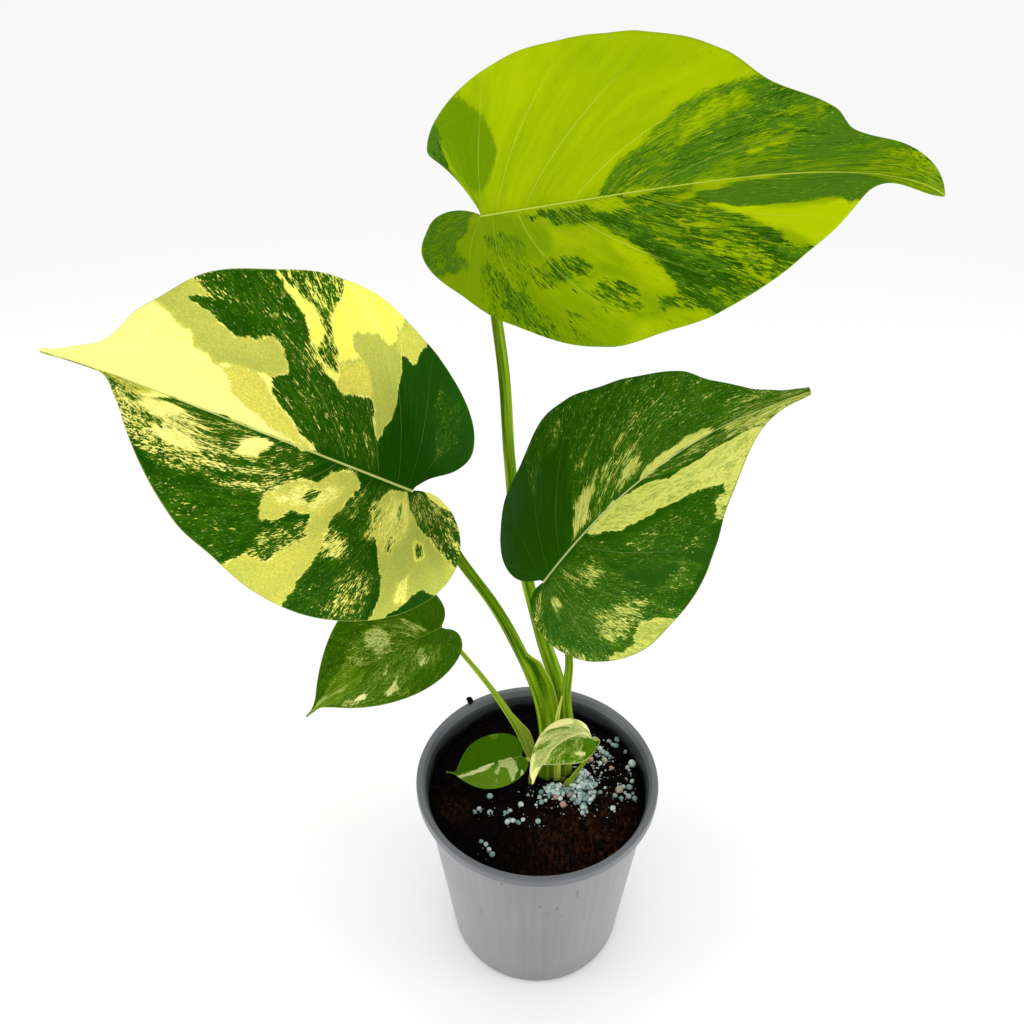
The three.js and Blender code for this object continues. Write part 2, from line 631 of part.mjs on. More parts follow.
// A stem swept along its path. A ring is an ellipse with a flap on its +X side, and the end is a dome.
function stemGeometry(points, spec, sides, extra = 0) {
  const curve = new THREE.CatmullRomCurve3(points, false, "centripetal");
  const steps = 5 + Math.ceil(curve.getLength() / stemStep);
  const flatten = spec.flatten ?? 0.92;
  const rings = [];
  for (let i = 0; i <= steps; i += 1) {
    const share = i / steps;
    const round = along(spec.radius, share) + extra;
    rings.push({ share, round, wing: along(spec.wing, share), push: 0 });
  }
  const tip = rings.at(-1).round;
  for (const angle of [0.5, 1, 1.35]) {
    rings.push({ share: 1, round: tip * Math.cos(angle), wing: 0, push: tip * Math.sin(angle) });
  }
  const vertices = [];
  for (const { share, round, wing, push } of rings) {
    const tangent = curve.getTangentAt(share);
    const side = tangent.clone().cross(new THREE.Vector3(0, 1, 0)).normalize().negate();
    const rear = tangent.clone().cross(side);
    const centre = curve.getPointAt(share).addScaledVector(tangent, push);
    for (let j = 0; j < sides; j += 1) {
      const angle = (j / sides) * 2 * Math.PI;
      const right = Math.max(0, Math.cos(angle));
      const flap = wing > 0 ? 1 - 0.6 * right * Math.min(1, wing / 2) : 1;
      vertices.push(centre.clone()
        .addScaledVector(side, round * Math.cos(angle) + wing * right ** 1.5)
        .addScaledVector(rear, flatten * round * Math.sin(angle) * flap));
    }
  }
  const triangles = [];
  for (let i = 0; i < rings.length - 1; i += 1) {
    for (let j = 0; j < sides; j += 1) {
      const k = (j + 1) % sides;
      triangles.push(...cellFaces(
        i * sides + j, i * sides + k, (i + 1) * sides + k, (i + 1) * sides + j));
    }
  }
  const firstCentre = vertices.length;
  vertices.push(points[0].clone());
  const lastTangent = curve.getTangentAt(1);
  vertices.push(points.at(-1).clone().addScaledVector(lastTangent, tip));
  const lastRing = (rings.length - 1) * sides;
  for (let j = 0; j < sides; j += 1) {
    const k = (j + 1) % sides;
    triangles.push(firstCentre, k, j);
    triangles.push(firstCentre + 1, lastRing + j, lastRing + k);
  }
  return fromTriangles(vertices, triangles);
}

function stalkPoints(spec) {
  const points = spec.path.map((place) => new THREE.Vector3(...place));
  points.push(seatUnder(leaves[spec.leaf], spec.radius.at(-1)[1]));
  return points;
}

const standsOnCrown = (spec) => spec.path[0][2] >= crown.top;

// What is cut off below a foot that stands level just above the crown.
const footSpare = 1.5;

function crownCut() {
  const size = 4 * crown.topRadius;
  const slab = new THREE.BoxGeometry(size, size, 4 * footSpare);
  return solid(slab.translate(crown.x, crown.y, crown.top + gap - 2 * footSpare));
}

function stalkSolid(spec, extra = 0) {
  const points = stalkPoints(spec);
  if (standsOnCrown(spec)) points[0].z -= footSpare;
  const stem = solid(stemGeometry(points, spec, 10, extra));
  if (!standsOnCrown(spec)) return stem;
  return stem.subtract(crownCut());
}

function sheathTipBody() {
  const points = sheathTip.path.map((place) => new THREE.Vector3(...place));
  points[0].z -= footSpare;
  const spec = { ...sheathTip, wing: [[0, 0], [1, 0]] };
  const stem = solid(stemGeometry(points, spec, 8));
  return geometryOf(stem.subtract(crownCut()));
}

// Assembly

function piece(name, geometry, colour, roughness) {
  const material = new THREE.MeshStandardMaterial({ color: colour, roughness, metalness: 0 });
  const mesh = new THREE.Mesh(geometry, material);
  mesh.name = name;
  return mesh;
}

const plant = new THREE.Group();
plant.add(piece("pot", potBody(), 0x85868c, 0.5));
plant.add(piece("peat", peatBody(), 0x1c120c, 0.95));
plant.add(piece("granule_pile", pileBody(), 0xa9c2c0, 0.7));
plant.add(piece("peat_crumb", crumbBody(), 0x15100c, 0.95));
plant.add(piece("crown", crownBody(), 0x7a8a34, 0.6));
plant.add(piece("sheath_tip", sheathTipBody(), sheathTip.colour, 0.5));
for (const [name, spec] of Object.entries(stalks)) {
  plant.add(piece(name, geometryOf(stalkSolid(spec)), spec.colour, 0.45));
}
for (const name of Object.keys(leaves)) plant.add(blade(name));

export default plant;
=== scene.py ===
import math

import bpy
import numpy as np
from mathutils import Matrix, Vector


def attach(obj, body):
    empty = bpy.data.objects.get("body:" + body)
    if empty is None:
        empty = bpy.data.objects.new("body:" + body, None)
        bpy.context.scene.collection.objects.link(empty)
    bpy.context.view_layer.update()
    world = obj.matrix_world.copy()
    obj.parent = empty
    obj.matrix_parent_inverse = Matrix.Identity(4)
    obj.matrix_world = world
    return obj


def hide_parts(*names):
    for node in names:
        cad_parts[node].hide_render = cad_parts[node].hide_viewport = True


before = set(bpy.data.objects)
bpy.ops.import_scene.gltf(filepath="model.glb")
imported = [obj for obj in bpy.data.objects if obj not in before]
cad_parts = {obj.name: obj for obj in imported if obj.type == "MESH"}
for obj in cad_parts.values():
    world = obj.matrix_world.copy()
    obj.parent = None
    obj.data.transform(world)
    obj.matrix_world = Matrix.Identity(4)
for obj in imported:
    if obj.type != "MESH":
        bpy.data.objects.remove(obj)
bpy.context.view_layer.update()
print("frame loaded:", len(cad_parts), "nodes")

mm = 0.001


def linear(hexColour):
    # sRGB hex to the linear numbers that a shader takes
    text = hexColour.lstrip("#")
    shares = [int(text[i:i + 2], 16) / 255 for i in (0, 2, 4)]
    return tuple(c / 12.92 if c <= 0.04045 else ((c + 0.055) / 1.055) ** 2.4 for c in shares) + (1.0,)


def newMaterial(name):
    # an empty material, and the function that adds nodes to it
    material = bpy.data.materials.new(name)
    material.use_nodes = True
    tree = material.node_tree
    tree.nodes.clear()

    def addNode(kind, inputs=None, output=0, **settings):
        # a shader node with its settings, its inputs set or linked by name or number, and one output given
        node = tree.nodes.new("ShaderNode" + kind)
        for key, value in settings.items():
            setattr(node, key, value)
        for key, value in (inputs or {}).items():
            if isinstance(value, bpy.types.NodeSocket):
                tree.links.new(value, node.inputs[key])
            else:
                node.inputs[key].default_value = value
        return node.outputs[output] if node.outputs else node

    return material, addNode


def smooth(low, high, value):
    # 0 below low, 1 above high, and an S-shaped rise between
    t = np.clip((value - low) / (high - low), 0, 1)
    return t * t * (3 - 2 * t)


def draw(seed):
    # a repeatable number between 0 and 1 for each seed, by the part's own rule
    value = np.sin(np.asarray(seed, float) * 12.9898) * 43758.5453
    return value - np.floor(value)


def lumps(points, size, seed):
    # smooth noise from -1 to 1: random numbers on a cubic lattice of that size, blended between corners
    place = np.asarray(points, float) / size
    corner = np.floor(place)
    t = place - corner
    t = t * t * (3 - 2 * t)
    total = np.zeros(place.shape[:-1])
    for dx in (0, 1):
        for dy in (0, 1):
            for dz in (0, 1):
                at = corner + (dx, dy, dz)
                value = draw(at[..., 0] * 1.37 + at[..., 1] * 57.31 + at[..., 2] * 113.7 + seed * 7.77)
                weight = (np.where(dx, t[..., 0], 1 - t[..., 0]) * np.where(dy, t[..., 1], 1 - t[..., 1])
                          * np.where(dz, t[..., 2], 1 - t[..., 2]))
                total += weight * value
    return 2 * total - 1


def makePiece(name, points, faces, material, slot, nodes=(), values=None, flat=False):
    # points in millimetres; faces is a list of whole arrays of triangles or quads
    mesh = bpy.data.meshes.new(name)
    points = np.asarray(points, float).reshape(-1, 3)
    corners = np.concatenate([np.asarray(f).ravel() for f in faces])
    sizes = np.concatenate([np.full(len(f), np.asarray(f).shape[1]) for f in faces])
    mesh.vertices.add(len(points))
    mesh.vertices.foreach_set("co", (points * mm).astype(np.float32).ravel())
    mesh.loops.add(len(corners))
    mesh.loops.foreach_set("vertex_index", corners.astype(np.int32))
    mesh.polygons.add(len(sizes))
    mesh.polygons.foreach_set("loop_start", np.concatenate([[0], np.cumsum(sizes)[:-1]]).astype(np.int32))
    mesh.polygons.foreach_set("use_smooth", np.full(len(sizes), not flat))
    for key, value in (values or {}).items():
        value = np.asarray(value, np.float32)
        kind, field = ("FLOAT_VECTOR", "vector") if value.ndim > 1 else ("FLOAT", "value")
        mesh.attributes.new(key, kind, "POINT").data.foreach_set(field, value.ravel())
    mesh.update(calc_edges=True)
    mesh.validate()
    mesh.materials.append(material)
    piece = bpy.data.objects.new(name, mesh)
    bpy.context.scene.collection.objects.link(piece)
    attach(piece, "root")
    if nodes:
        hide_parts(*nodes)
    return piece


def fixNormals(piece):
    # a closed shell whose volume comes out negative is turned round
    mesh = piece.data
    mesh.calc_loop_triangles()
    count = len(mesh.vertices)
    co = np.empty(count * 3, np.float32)
    mesh.vertices.foreach_get("co", co)
    co = co.reshape(-1, 3).astype(float)
    tris = np.empty(len(mesh.loop_triangles) * 3, np.int32)
    mesh.loop_triangles.foreach_get("vertices", tris)
    a, b, c = (co[tris.reshape(-1, 3)[:, i]] for i in range(3))
    volume = np.einsum("ij,ij->i", a, np.cross(b, c)).sum() / 6
    if volume < 0:
        mesh.flip_normals()
    print(piece.name, "volume", round(abs(volume) * 1e6, 2), "cm3", len(mesh.loop_triangles), "triangles")


def gridQuads(rows, columns, closed=False):
    # quads of a grid of vertices numbered row by row; a closed grid joins its last column to its first
    i = np.arange(rows - 1)[:, None]
    j = np.arange(columns if closed else columns - 1)[None, :]
    k = (j + 1) % columns
    quads = np.stack([i * columns + j, i * columns + k, (i + 1) * columns + k, (i + 1) * columns + j], -1)
    return quads.reshape(-1, 4)


def makeShell(name, rings, first, final, material, slot, nodes, values=None):
    # a closed skin over a stack of rings of points, with a fan of triangles at each end
    count, sides = rings.shape[:2]
    ends = count * sides
    j = np.arange(sides)
    k = (j + 1) % sides
    last = ends - sides
    fans = np.concatenate([np.stack([np.full(sides, ends), k, j], -1),
                           np.stack([np.full(sides, ends + 1), last + j, last + k], -1)])
    points = np.vstack([rings.reshape(-1, 3), first, final])
    return makePiece(name, points, [gridQuads(count, sides, True), fans], material, slot, nodes, values)


def latheRings(profile, segments):
    # (radius, height) points turned round the Z axis, from the front and to the right
    angle = np.arange(segments) / segments * 2 * np.pi
    radius, height = profile[:, :1], profile[:, 1:]
    return np.stack(np.broadcast_arrays(radius * np.sin(angle), -radius * np.cos(angle), height), -1)


def roundedProfile(corners):
    # a profile from (radius, height, rounding) corners, where each rounding is a short curve that
    # leaves the corner's two sides at that distance
    points = []
    for i, (r, h, rounding) in enumerate(corners):
        here = np.array([r, h], float)
        if rounding == 0 or i in (0, len(corners) - 1):
            points.append(here)
            continue
        before, after = (np.array(corners[i + d][:2], float) - here for d in (-1, 1))
        start = here + before / np.linalg.norm(before) * rounding
        end = here + after / np.linalg.norm(after) * rounding
        for t in np.linspace(0, 1, 6):
            points.append((1 - t) ** 2 * start + 2 * t * (1 - t) * here + t * t * end)
    return np.array(points)


# Place in millimetres, angles in degrees, and the focal length in pixels of the 1024 pixel picture.
camera = {"eye": (0, -289, 457.5), "pitch": 33.55, "yaw": -2.25, "roll": -0.48, "focal": 868, "pixels": 1024}


def makeCamera():
    # the view direction turns left by yaw and down by pitch, and then the frame turns by roll
    pitch, yaw, roll = (math.radians(camera[k]) for k in ("pitch", "yaw", "roll"))
    ahead = Vector((math.sin(yaw) * math.cos(pitch), math.cos(yaw) * math.cos(pitch), -math.sin(pitch)))
    right = ahead.cross(Vector((0, 0, 1))).normalized()
    up = right.cross(ahead)
    turnedRight = right * math.cos(roll) + up * math.sin(roll)
    turnedUp = up * math.cos(roll) - right * math.sin(roll)
    data = bpy.data.cameras.new("photographView")
    data.sensor_width = 36
    data.lens = camera["focal"] / camera["pixels"] * data.sensor_width
    data.clip_start, data.clip_end = 0.01, 20
    view = bpy.data.objects.new("photographView", data)
    bpy.context.scene.collection.objects.link(view)
    place = Matrix.Identity(4)
    for i, axis in enumerate((turnedRight, turnedUp, -ahead, Vector(camera["eye"]) * mm)):
        for j in range(3):
            place[j][i] = axis[j]
    view.matrix_world = place
    bpy.context.scene.camera = view


makeCamera()
print("camera set")


# Places and sizes are in millimetres, angles in degrees, and they are the part's own values. A blade's two
# halves have their own outlines: the lobe reaches "back" behind the notch and lies "lobe" off the midrib
# there, "open" bends the notch's side, the half is "half" wide at "wide" along the midrib, and its drawn-out
# tip starts at "neck", "neckHalf" wide. "full" and "tipFull" swell the edge before the neck and in the tip,
# "fold", "curl" and "drop" lift the half, roll its margin and lower its lobe, and "trim" moves the margin
# outwards at shares of its length: its small waves.
# A patch is (share of dark green, share of sage, how cream its light tissue is, softness of its edge,
# outline), and "base" holds the first three for the whole blade. An outline's corners are in per cent, along
# from notch to tip and across, where the left margin is at 100, the midrib at 0 and the right margin at -100.
# "layer" is the share of sage in marbled zones, "veins" the strength of the side veins, and "stretch"
# lengthens the flecks along them. "edge" is how far the light tissue turns sage where it meets green, and
# "depth" how far thin green turns to greenLight.
leaves = {}
leaves["leaf_top"] = {
    "at": (-23, 34.5, 372), "length": 160.5, "heading": -24.5, "pitch": 14, "roll": 51,
    "arch": 70, "archPower": 5, "sweep": -0.5, "twist": 45, "twistPower": 2, "tipFold": -12.5,
    "left": {
        "back": 23.5, "lobe": 28.5, "open": 22, "half": 55, "wide": 30.5, "neck": 118.5, "neckHalf": 17,
        "full": 0.4, "tipFull": 9.5, "fold": 15, "curl": 7, "drop": 1,
        "trim": [(0, 0), (0.06, 0.3), (0.2, 1.1), (0.34, 1.7), (0.43, -0.2), (0.49, -0.2), (0.55, 1),
                 (0.63, 1.9), (0.67, 1.6), (0.74, -0.8), (0.82, 1.7), (0.85, -0.6), (0.91, 1.2), (1, 0)],
    },
    "right": {
        "back": 16.5, "lobe": 7.5, "open": -7, "half": 53, "wide": 57, "neck": 130.5, "neckHalf": 5.5,
        "full": 0.49, "tipFull": 4.5, "fold": 24, "curl": 29, "drop": -7,
        "trim": [(0, 0), (0.04, 1.2), (0.1, -0.3), (0.15, 1.2), (0.25, -2.2), (0.34, -1.1), (0.46, 1.5),
                 (0.49, 1.4), (0.57, -1), (0.64, 0), (0.76, 1.3), (0.82, 2.2), (0.88, 1.4), (1, 0)],
    },
    "keel": 1.1, "keelWidth": 2, "slot": "blade_lime", "seed": 1, "base": (-0.6, 0, 0.5),
    "patches": [
        (-0.6, 0.12, 0.15, 6, [(0, 110), (0, 10), (20, 10), (24, 50), (20, 110)]),
        (-0.6, 1.2, 0, 2, [(15, 68), (17, 85), (18, 110), (23.5, 110), (25, 80), (27.5, 66), (29, 52),
         (30.5, 38), (28.5, 30), (25, 25), (20, 22), (15, 30), (13, 45), (14, 60)]),
        (1.3, 0.55, 0, 1.5, [(4, 110), (18.5, 110), (17.8, 90), (15, 66), (10, 86), (6, 96)]),
        (0.57, 0.75, 0.4, 1.5, [(60.5, 0), (62, 12), (64, 25), (65.5, 38), (67, 50), (68, 65), (69, 75),
         (71.5, 90), (72, 110), (110, 110), (110, 0)]),
        (0.8, 0.6, 0.4, 2, [(71, 15), (74, 40), (75, 70), (74, 95), (75, 110), (80, 110), (79, 80), (79, 50),
         (77, 10)]),
        (0.1, 0.5, 0.4, 1, [(70, 50), (71, 75), (73.5, 85), (74.8, 80), (74.2, 60), (72, 42), (71, 38)]),
        (0, 0.45, 0.5, 1, [(80, 33), (80.5, 45), (82.5, 60), (83.2, 55), (82.5, 42), (81, 30)]),
        # painted sheen: a greyish band across the left half at 83 to 88 per cent, drawn as filmed green
        (1.1, 0.85, 0, 3, [(84, 45), (83.5, 80), (83, 110), (87.5, 110), (88, 75), (86.5, 40)]),
        (0.62, 0.9, 0, 2, [(88, 110), (89, 50), (90, 10), (93, 30), (94, 60), (93, 110)]),
        (0.3, 0.5, 0.4, 2, [(93, 110), (94.5, 50), (92, 5), (110, 0), (110, 110)]),
        # the right half up to 60 per cent is a darker lime with a few olive flecks: the flecks are its own,
        # the darker lime is painted shade of a half turned from the light
        (-0.45, 0.12, 0, 3, [(0, 0), (60, 0), (60, -110), (0, -110)]),
        (0.3, 0.35, 0, 4, [(24, -24), (40, -12), (44, -30), (42, -60), (50, -90), (46, -110), (30, -110),
         (26, -60), (30, -40)]),
        (0.62, 0.85, 0, 2, [(2, -60), (5, -48), (9, -40), (14, -40), (15, -56), (20, -58), (23.5, -64),
         (22, -72), (20, -86), (19, -110), (2, -110)]),
        (0.5, 0.4, 0, 1.5, [(25, -28), (30, -26), (33, -33), (28, -37)]),
        (0.45, 0.5, 0, 1.5, [(33, -20), (40, -22), (40.5, -30), (35, -27)]),
        (0.58, 0.3, 0, 3, [(29, -56), (34, -58), (40, -70), (42, -85), (44, -97), (36, -95), (34, -84),
         (32, -70)]),
        (0.42, 0.3, 0.3, 2.5, [(40, -42), (47, -40), (48, -60), (44, -62)]),
        (0.55, 0.3, 0, 1.2, [(46, -70), (50, -74), (50, -84), (46.5, -84)]),
        (0.55, 0.3, 0.3, 2, [(47, -36), (54, -38), (56, -50), (54, -58), (48, -56)]),
        (0.52, 0.3, 0.5, 2.5, [(50, -60), (56, -55), (60, -70), (58, -86), (52, -78)]),
        (-0.3, 0.1, 0.5, 3, [(50, -18), (57, -20), (60, -30), (59, -50), (54, -36), (50, -34)]),
        (0.66, 0.35, 0.3, 2, [(36, -2), (76, 0), (76, -14), (66, -16), (58, -22), (54, -19), (49, -13),
         (44, -15), (40, -8)]),
        (-0.15, 0.25, 0.6, 1, [(57.5, -2), (64, -5), (67, -13), (63, -14), (60, -10)]),
        (0.62, 0.45, 0.3, 2, [(59, -16), (70, -10), (76.5, -15), (77.5, -35), (78.7, -60), (78.7, -110),
         (63, -110), (58, -92), (60, -78), (62.5, -78), (64, -50)]),
        (0.5, 0.35, 0.6, 2, [(70, -20), (74, -30), (75.5, -60), (75, -110), (70, -110), (71, -60)]),
        (0.98, 0, 0, 2, [(64, -35), (66.5, -42), (67.5, -80), (65.5, -85), (64.5, -60)]),
        (-0.1, 0.25, 0.7, 1.2, [(60, -33), (62.5, -38), (64, -55), (64, -78), (62.5, -78), (61.2, -55)]),
        (-0.2, 0.2, 0.6, 1.5, [(55, -90), (60, -91), (63, -98), (62, -110), (50, -110)]),
        (-0.6, 0, 1, 1, [(76.5, -30), (78.5, -36), (80, -48), (82, -58), (84.5, -76), (86.5, -92),
         (87, -110), (78.7, -110), (78.5, -70), (78, -45)]),
        # painted sheen: a grey-green band over the right half towards the tip, drawn as filmed green
        (0.96, 1.1, 0, 0.7, [(74.5, -10), (78, -12), (85, -10), (90, -10), (93, -30), (93, -60), (90, -110),
         (87, -110), (86, -88), (83.5, -66), (81, -50), (78.5, -37), (76.5, -22)]),
        (0.78, 0.8, 0.3, 2, [(78, -6), (90, -6), (90, -30), (84, -30), (80, -16)]),
        (0.45, 0.4, 0.3, 2, [(92, 110), (92, -110), (110, -110), (110, 110)]),
    ],
    "layer": 0.38, "veins": 0.4, "stretch": 1.6, "edge": 0.45, "depth": 0.12,
    # on this leaf the film colour also paints the grey-green sheen of its gloss: painted sheen
    "pale": "#769400", "paleCream": "#aec400", "sage": "#668800", "sageCream": "#82a004",
    "sageNet": "#587a00", "green": "#1f4800", "greenLight": "#528406", "film": "#4c7416",
    "speck": "#9cb840", "rib": "#c8d650", "rim": "#86a414",
}
leaves["leaf_left"] = {
    "at": (-53, 11, 268), "length": 151, "heading": 225.5, "pitch": 40, "roll": -67.5,
    "arch": 66.5, "archPower": 1.69, "sweep": -22, "twist": -5.5, "twistPower": 1, "tipFold": 21.5,
    "left": {
        "back": 32, "lobe": 17, "open": -6, "half": 58.5, "wide": 37.5, "neck": 120, "neckHalf": 5.5,
        "full": 0.57, "tipFull": 0, "fold": 8, "curl": 16, "drop": -2,
        "trim": [(0, 0), (0.04, 1), (0.13, 0.4), (0.2, 1.3), (0.46, -0.3), (0.58, -1), (0.64, -1.5),
                 (0.7, 0.3), (0.85, 0), (0.88, 1), (1, 0)],
    },
    "right": {
        "back": 29, "lobe": 26.5, "open": 11.5, "half": 63.5, "wide": 46, "neck": 125.5, "neckHalf": 16.5,
        "full": 0.7, "tipFull": 0, "fold": 9, "curl": 10, "drop": -1,
        "trim": [(0, 0), (0.04, -1), (0.1, 0.5), (0.28, -0.5), (0.37, 0.1), (0.49, 2.3), (0.58, 1.6),
                 (0.67, 0.1), (0.76, 2.1), (0.82, 0.9), (0.85, 1.4), (0.91, 0), (0.95, 1.5), (1, 0.8)],
    },
    "keel": 1.1, "keelWidth": 2, "slot": "blade_cream", "seed": 2, "base": (1.08, 0, 0.5),
    "patches": [
        (1.4, 0, 0.5, 3, [(0, 0), (44, 0), (44, -40), (40, -75), (37, -110), (0, -110)]),
        (0.98, 0, 0.3, 3, [(15, -42), (20, -43), (30, -60), (32, -85), (24, -95), (17, -80)]),
        (0.84, 0, 0.7, 3, [(46, -2), (62, -3), (70, -12), (73, -35), (73, -55), (78, -80), (80, -110),
         (68, -110), (66, -80), (64, -42), (52, -38), (48, -20)]),
        (-0.6, 0, 0.1, 1.5, [(37, -110), (38.5, -90), (40, -78), (44, -74), (44.5, -40), (49, -23),
         (52, -38), (55, -41), (60, -40), (63, -45), (65, -60), (65.5, -85), (67.5, -110)]),
        (-0.6, 1.3, 0.1, 1.2, [(43.6, -42), (44.8, -35), (48.2, -18), (52, -37), (53, -55), (56, -60),
         (56, -67), (53, -70), (50, -74), (47, -73), (45, -78), (43.3, -72)]),
        (-0.6, 1.3, 0.9, 1.2, [(51.2, -36), (53, -38.5), (60, -37.5), (60, -50), (57.5, -54), (54, -55),
         (52.5, -50)]),
        (-0.6, 1.3, 0.6, 1.5, [(37.5, -95), (39.2, -80), (41, -75), (45, -74), (45.2, -88), (43, -95),
         (43, -110), (36.5, -110)]),
        (0.6, 0, 0.3, 1.5, [(60, -44), (63, -46), (64.5, -56), (62.5, -68), (63.2, -78), (64.5, -85),
         (66, -95), (67, -110), (54, -110), (57, -90), (59.8, -75), (60, -60)]),
        (-0.6, 0, 1, 1.2, [(64, -0.5), (69, -7), (71, -15), (73, -25), (73.5, -38), (72, -42), (72, -60),
         (74.5, -65), (77, -75), (80, -110), (110, -110), (110, 110), (93, 110), (90, 80), (87, 50),
         (86, 0)]),
        (-0.6, 1, 1, 1.2, [(66.5, -2), (71, -2), (74.5, -7), (77.5, -17), (79, -30), (80, -42), (77.5, -42),
         (74.5, -36), (73.5, -25), (71, -14)]),
        (-0.6, 1.3, 0.3, 1.2, [(70.5, -42), (73, -37), (76, -40), (80, -42), (81.2, -55), (81.8, -75),
         (83, -110), (78.6, -110), (75.7, -78), (73.5, -68), (70.8, -62)]),
        (0.95, 0, 0.3, 1.2, [(71, -60), (73.5, -56), (76.5, -60), (77.5, -75), (79, -90), (77, -90),
         (74, -72), (71, -70)]),
        (-0.6, 0, 0.3, 2, [(1, 110), (9.5, 110), (10, 80), (8.5, 62), (5.5, 70), (2, 90)]),
        (0.67, 0.2, 0.5, 3, [(7, 60), (10, 85), (10, 110), (19, 110), (20, 80), (20, 60), (20, 45), (24, 35),
         (24, 20), (15, 10), (6, 30)]),
        (-0.6, 1.25, 0.12, 1.5, [(18.7, 110), (24, 110), (27, 88), (30, 88), (33, 97), (40, 110), (37, 80),
         (37.5, 65), (40, 45), (43, 30), (44, 15), (40, 8), (33, 3), (20, 3), (23, 20), (20, 45),
         (19.5, 70)]),
        (0.05, 0.55, 0.6, 3, [(22, 5), (23, 30), (30, 42), (40, 42), (43, 25), (36, 6)]),
        (-0.6, 0.35, 0.6, 2, [(29, 70), (31, 92), (34.5, 92), (33, 70)]),
        (0.66, 0, 0.5, 3, [(21.5, 55), (23, 66), (26, 64), (26.2, 50), (24, 46)]),
        (0.64, 0.3, 0.5, 3, [(27, 13), (29, 25), (32, 26), (32.5, 18), (30, 13)]),
        (0.62, 0.3, 0.5, 3, [(33, 38), (35, 49), (38, 47), (37, 36)]),
        (1.3, 0, 0.5, 1.5, [(24, 110), (27, 88), (30, 92), (35, 96), (37, 110)]),
        (0.95, 0.3, 0.5, 2, [(37.5, 65), (39, 90), (41, 110), (52, 110), (54.5, 90), (55, 60), (56, 40),
         (55, 25), (50, 10), (42, 2), (36, 2), (43, 15), (42, 40)]),
        (0.58, 0.2, 0.4, 3, [(40, 72), (41, 100), (46, 100), (48, 75), (46, 60), (43, 62)]),
        (0.5, 0.2, 0.4, 2, [(49, 42), (49.5, 54), (53, 60), (55, 50), (54.5, 38)]),
        (0.42, 0.6, 0.6, 2.5, [(38.5, 12), (39, 30), (42, 40), (45.5, 36), (45.5, 20), (43, 12)]),
        (0.7, 0.2, 0.4, 3, [(47, 12), (49, 30), (54, 34), (53, 18)]),
        (-0.6, 1.2, 0.5, 1.5, [(53, 110), (63.5, 110), (63, 85), (60, 80), (60, 65), (58, 55), (60, 40),
         (62.5, 42), (65.5, 60), (67.5, 50), (68, 40), (66, 25), (60, 10), (55, 2), (51.5, 8), (55, 30),
         (55.5, 45), (54, 65), (55, 80), (54.5, 90)]),
        (-0.2, 0.5, 0.8, 2, [(55.5, 15), (58, 36), (61, 38), (65, 45), (66.8, 40), (65, 22), (60, 14)]),
        (0.62, 0.3, 0.6, 1.2, [(60, 22), (61, 32), (63, 34), (63, 20)]),
        (0.62, 0.3, 0.5, 1.5, [(57.5, 50), (59.5, 62), (60, 80), (63, 86), (64.5, 66), (62, 50), (60, 42)]),
        (0.93, 0.42, 0.5, 2, [(64, 110), (79, 110), (76, 90), (74, 75), (72, 60), (70, 50), (68, 48),
         (66.5, 62), (64, 66), (63.5, 85)]),
        (0.64, 0.15, 0.9, 2, [(62, 3), (66, 20), (68, 42), (71, 50), (74.5, 70), (76, 85), (80, 98),
         (83, 110), (93, 110), (88.5, 70), (86.5, 40), (86, 6)]),
        (0.5, 0.1, 0.9, 2, [(76, 30), (77, 60), (80, 95), (88, 110), (86, 60), (85, 20)]),
        (0.72, 0, 0.6, 2, [(68, 10), (71, 40), (76, 40), (75, 10)]),
        (0.72, 0, 0.6, 2, [(77, 2), (77, 30), (80, 30), (81, 2)]),
        (-0.5, 0, 0.9, 1.2, [(72.5, 6), (73.5, 22), (75.5, 33), (76, 18), (74.5, 6)]),
        (0, 0.2, 0.9, 1.5, [(78.5, 55), (79.5, 72), (82, 76), (82, 62), (80, 50)]),
        (0, 0.3, 0.8, 1.5, [(84, 20), (84.5, 50), (86, 75), (87, 50), (86, 20)]),
        (0.42, 1, 0.75, 2, [(87, 2), (87.5, 60), (90, 95), (90, 110), (110, 110), (110, 3)]),
    ],
    "layer": 0.36, "veins": 0.14, "stretch": 1.2, "edge": 0.5, "depth": 0.35,
    "pale": "#fffb60", "paleCream": "#fffb94", "sage": "#bac356", "sageCream": "#f0e660",
    "sageNet": "#8f9a34", "green": "#164700", "greenLight": "#386800", "film": "#3f6c0c",
    "speck": "#8faa5c", "rib": "#dfe486", "rim": "#aab860",
}
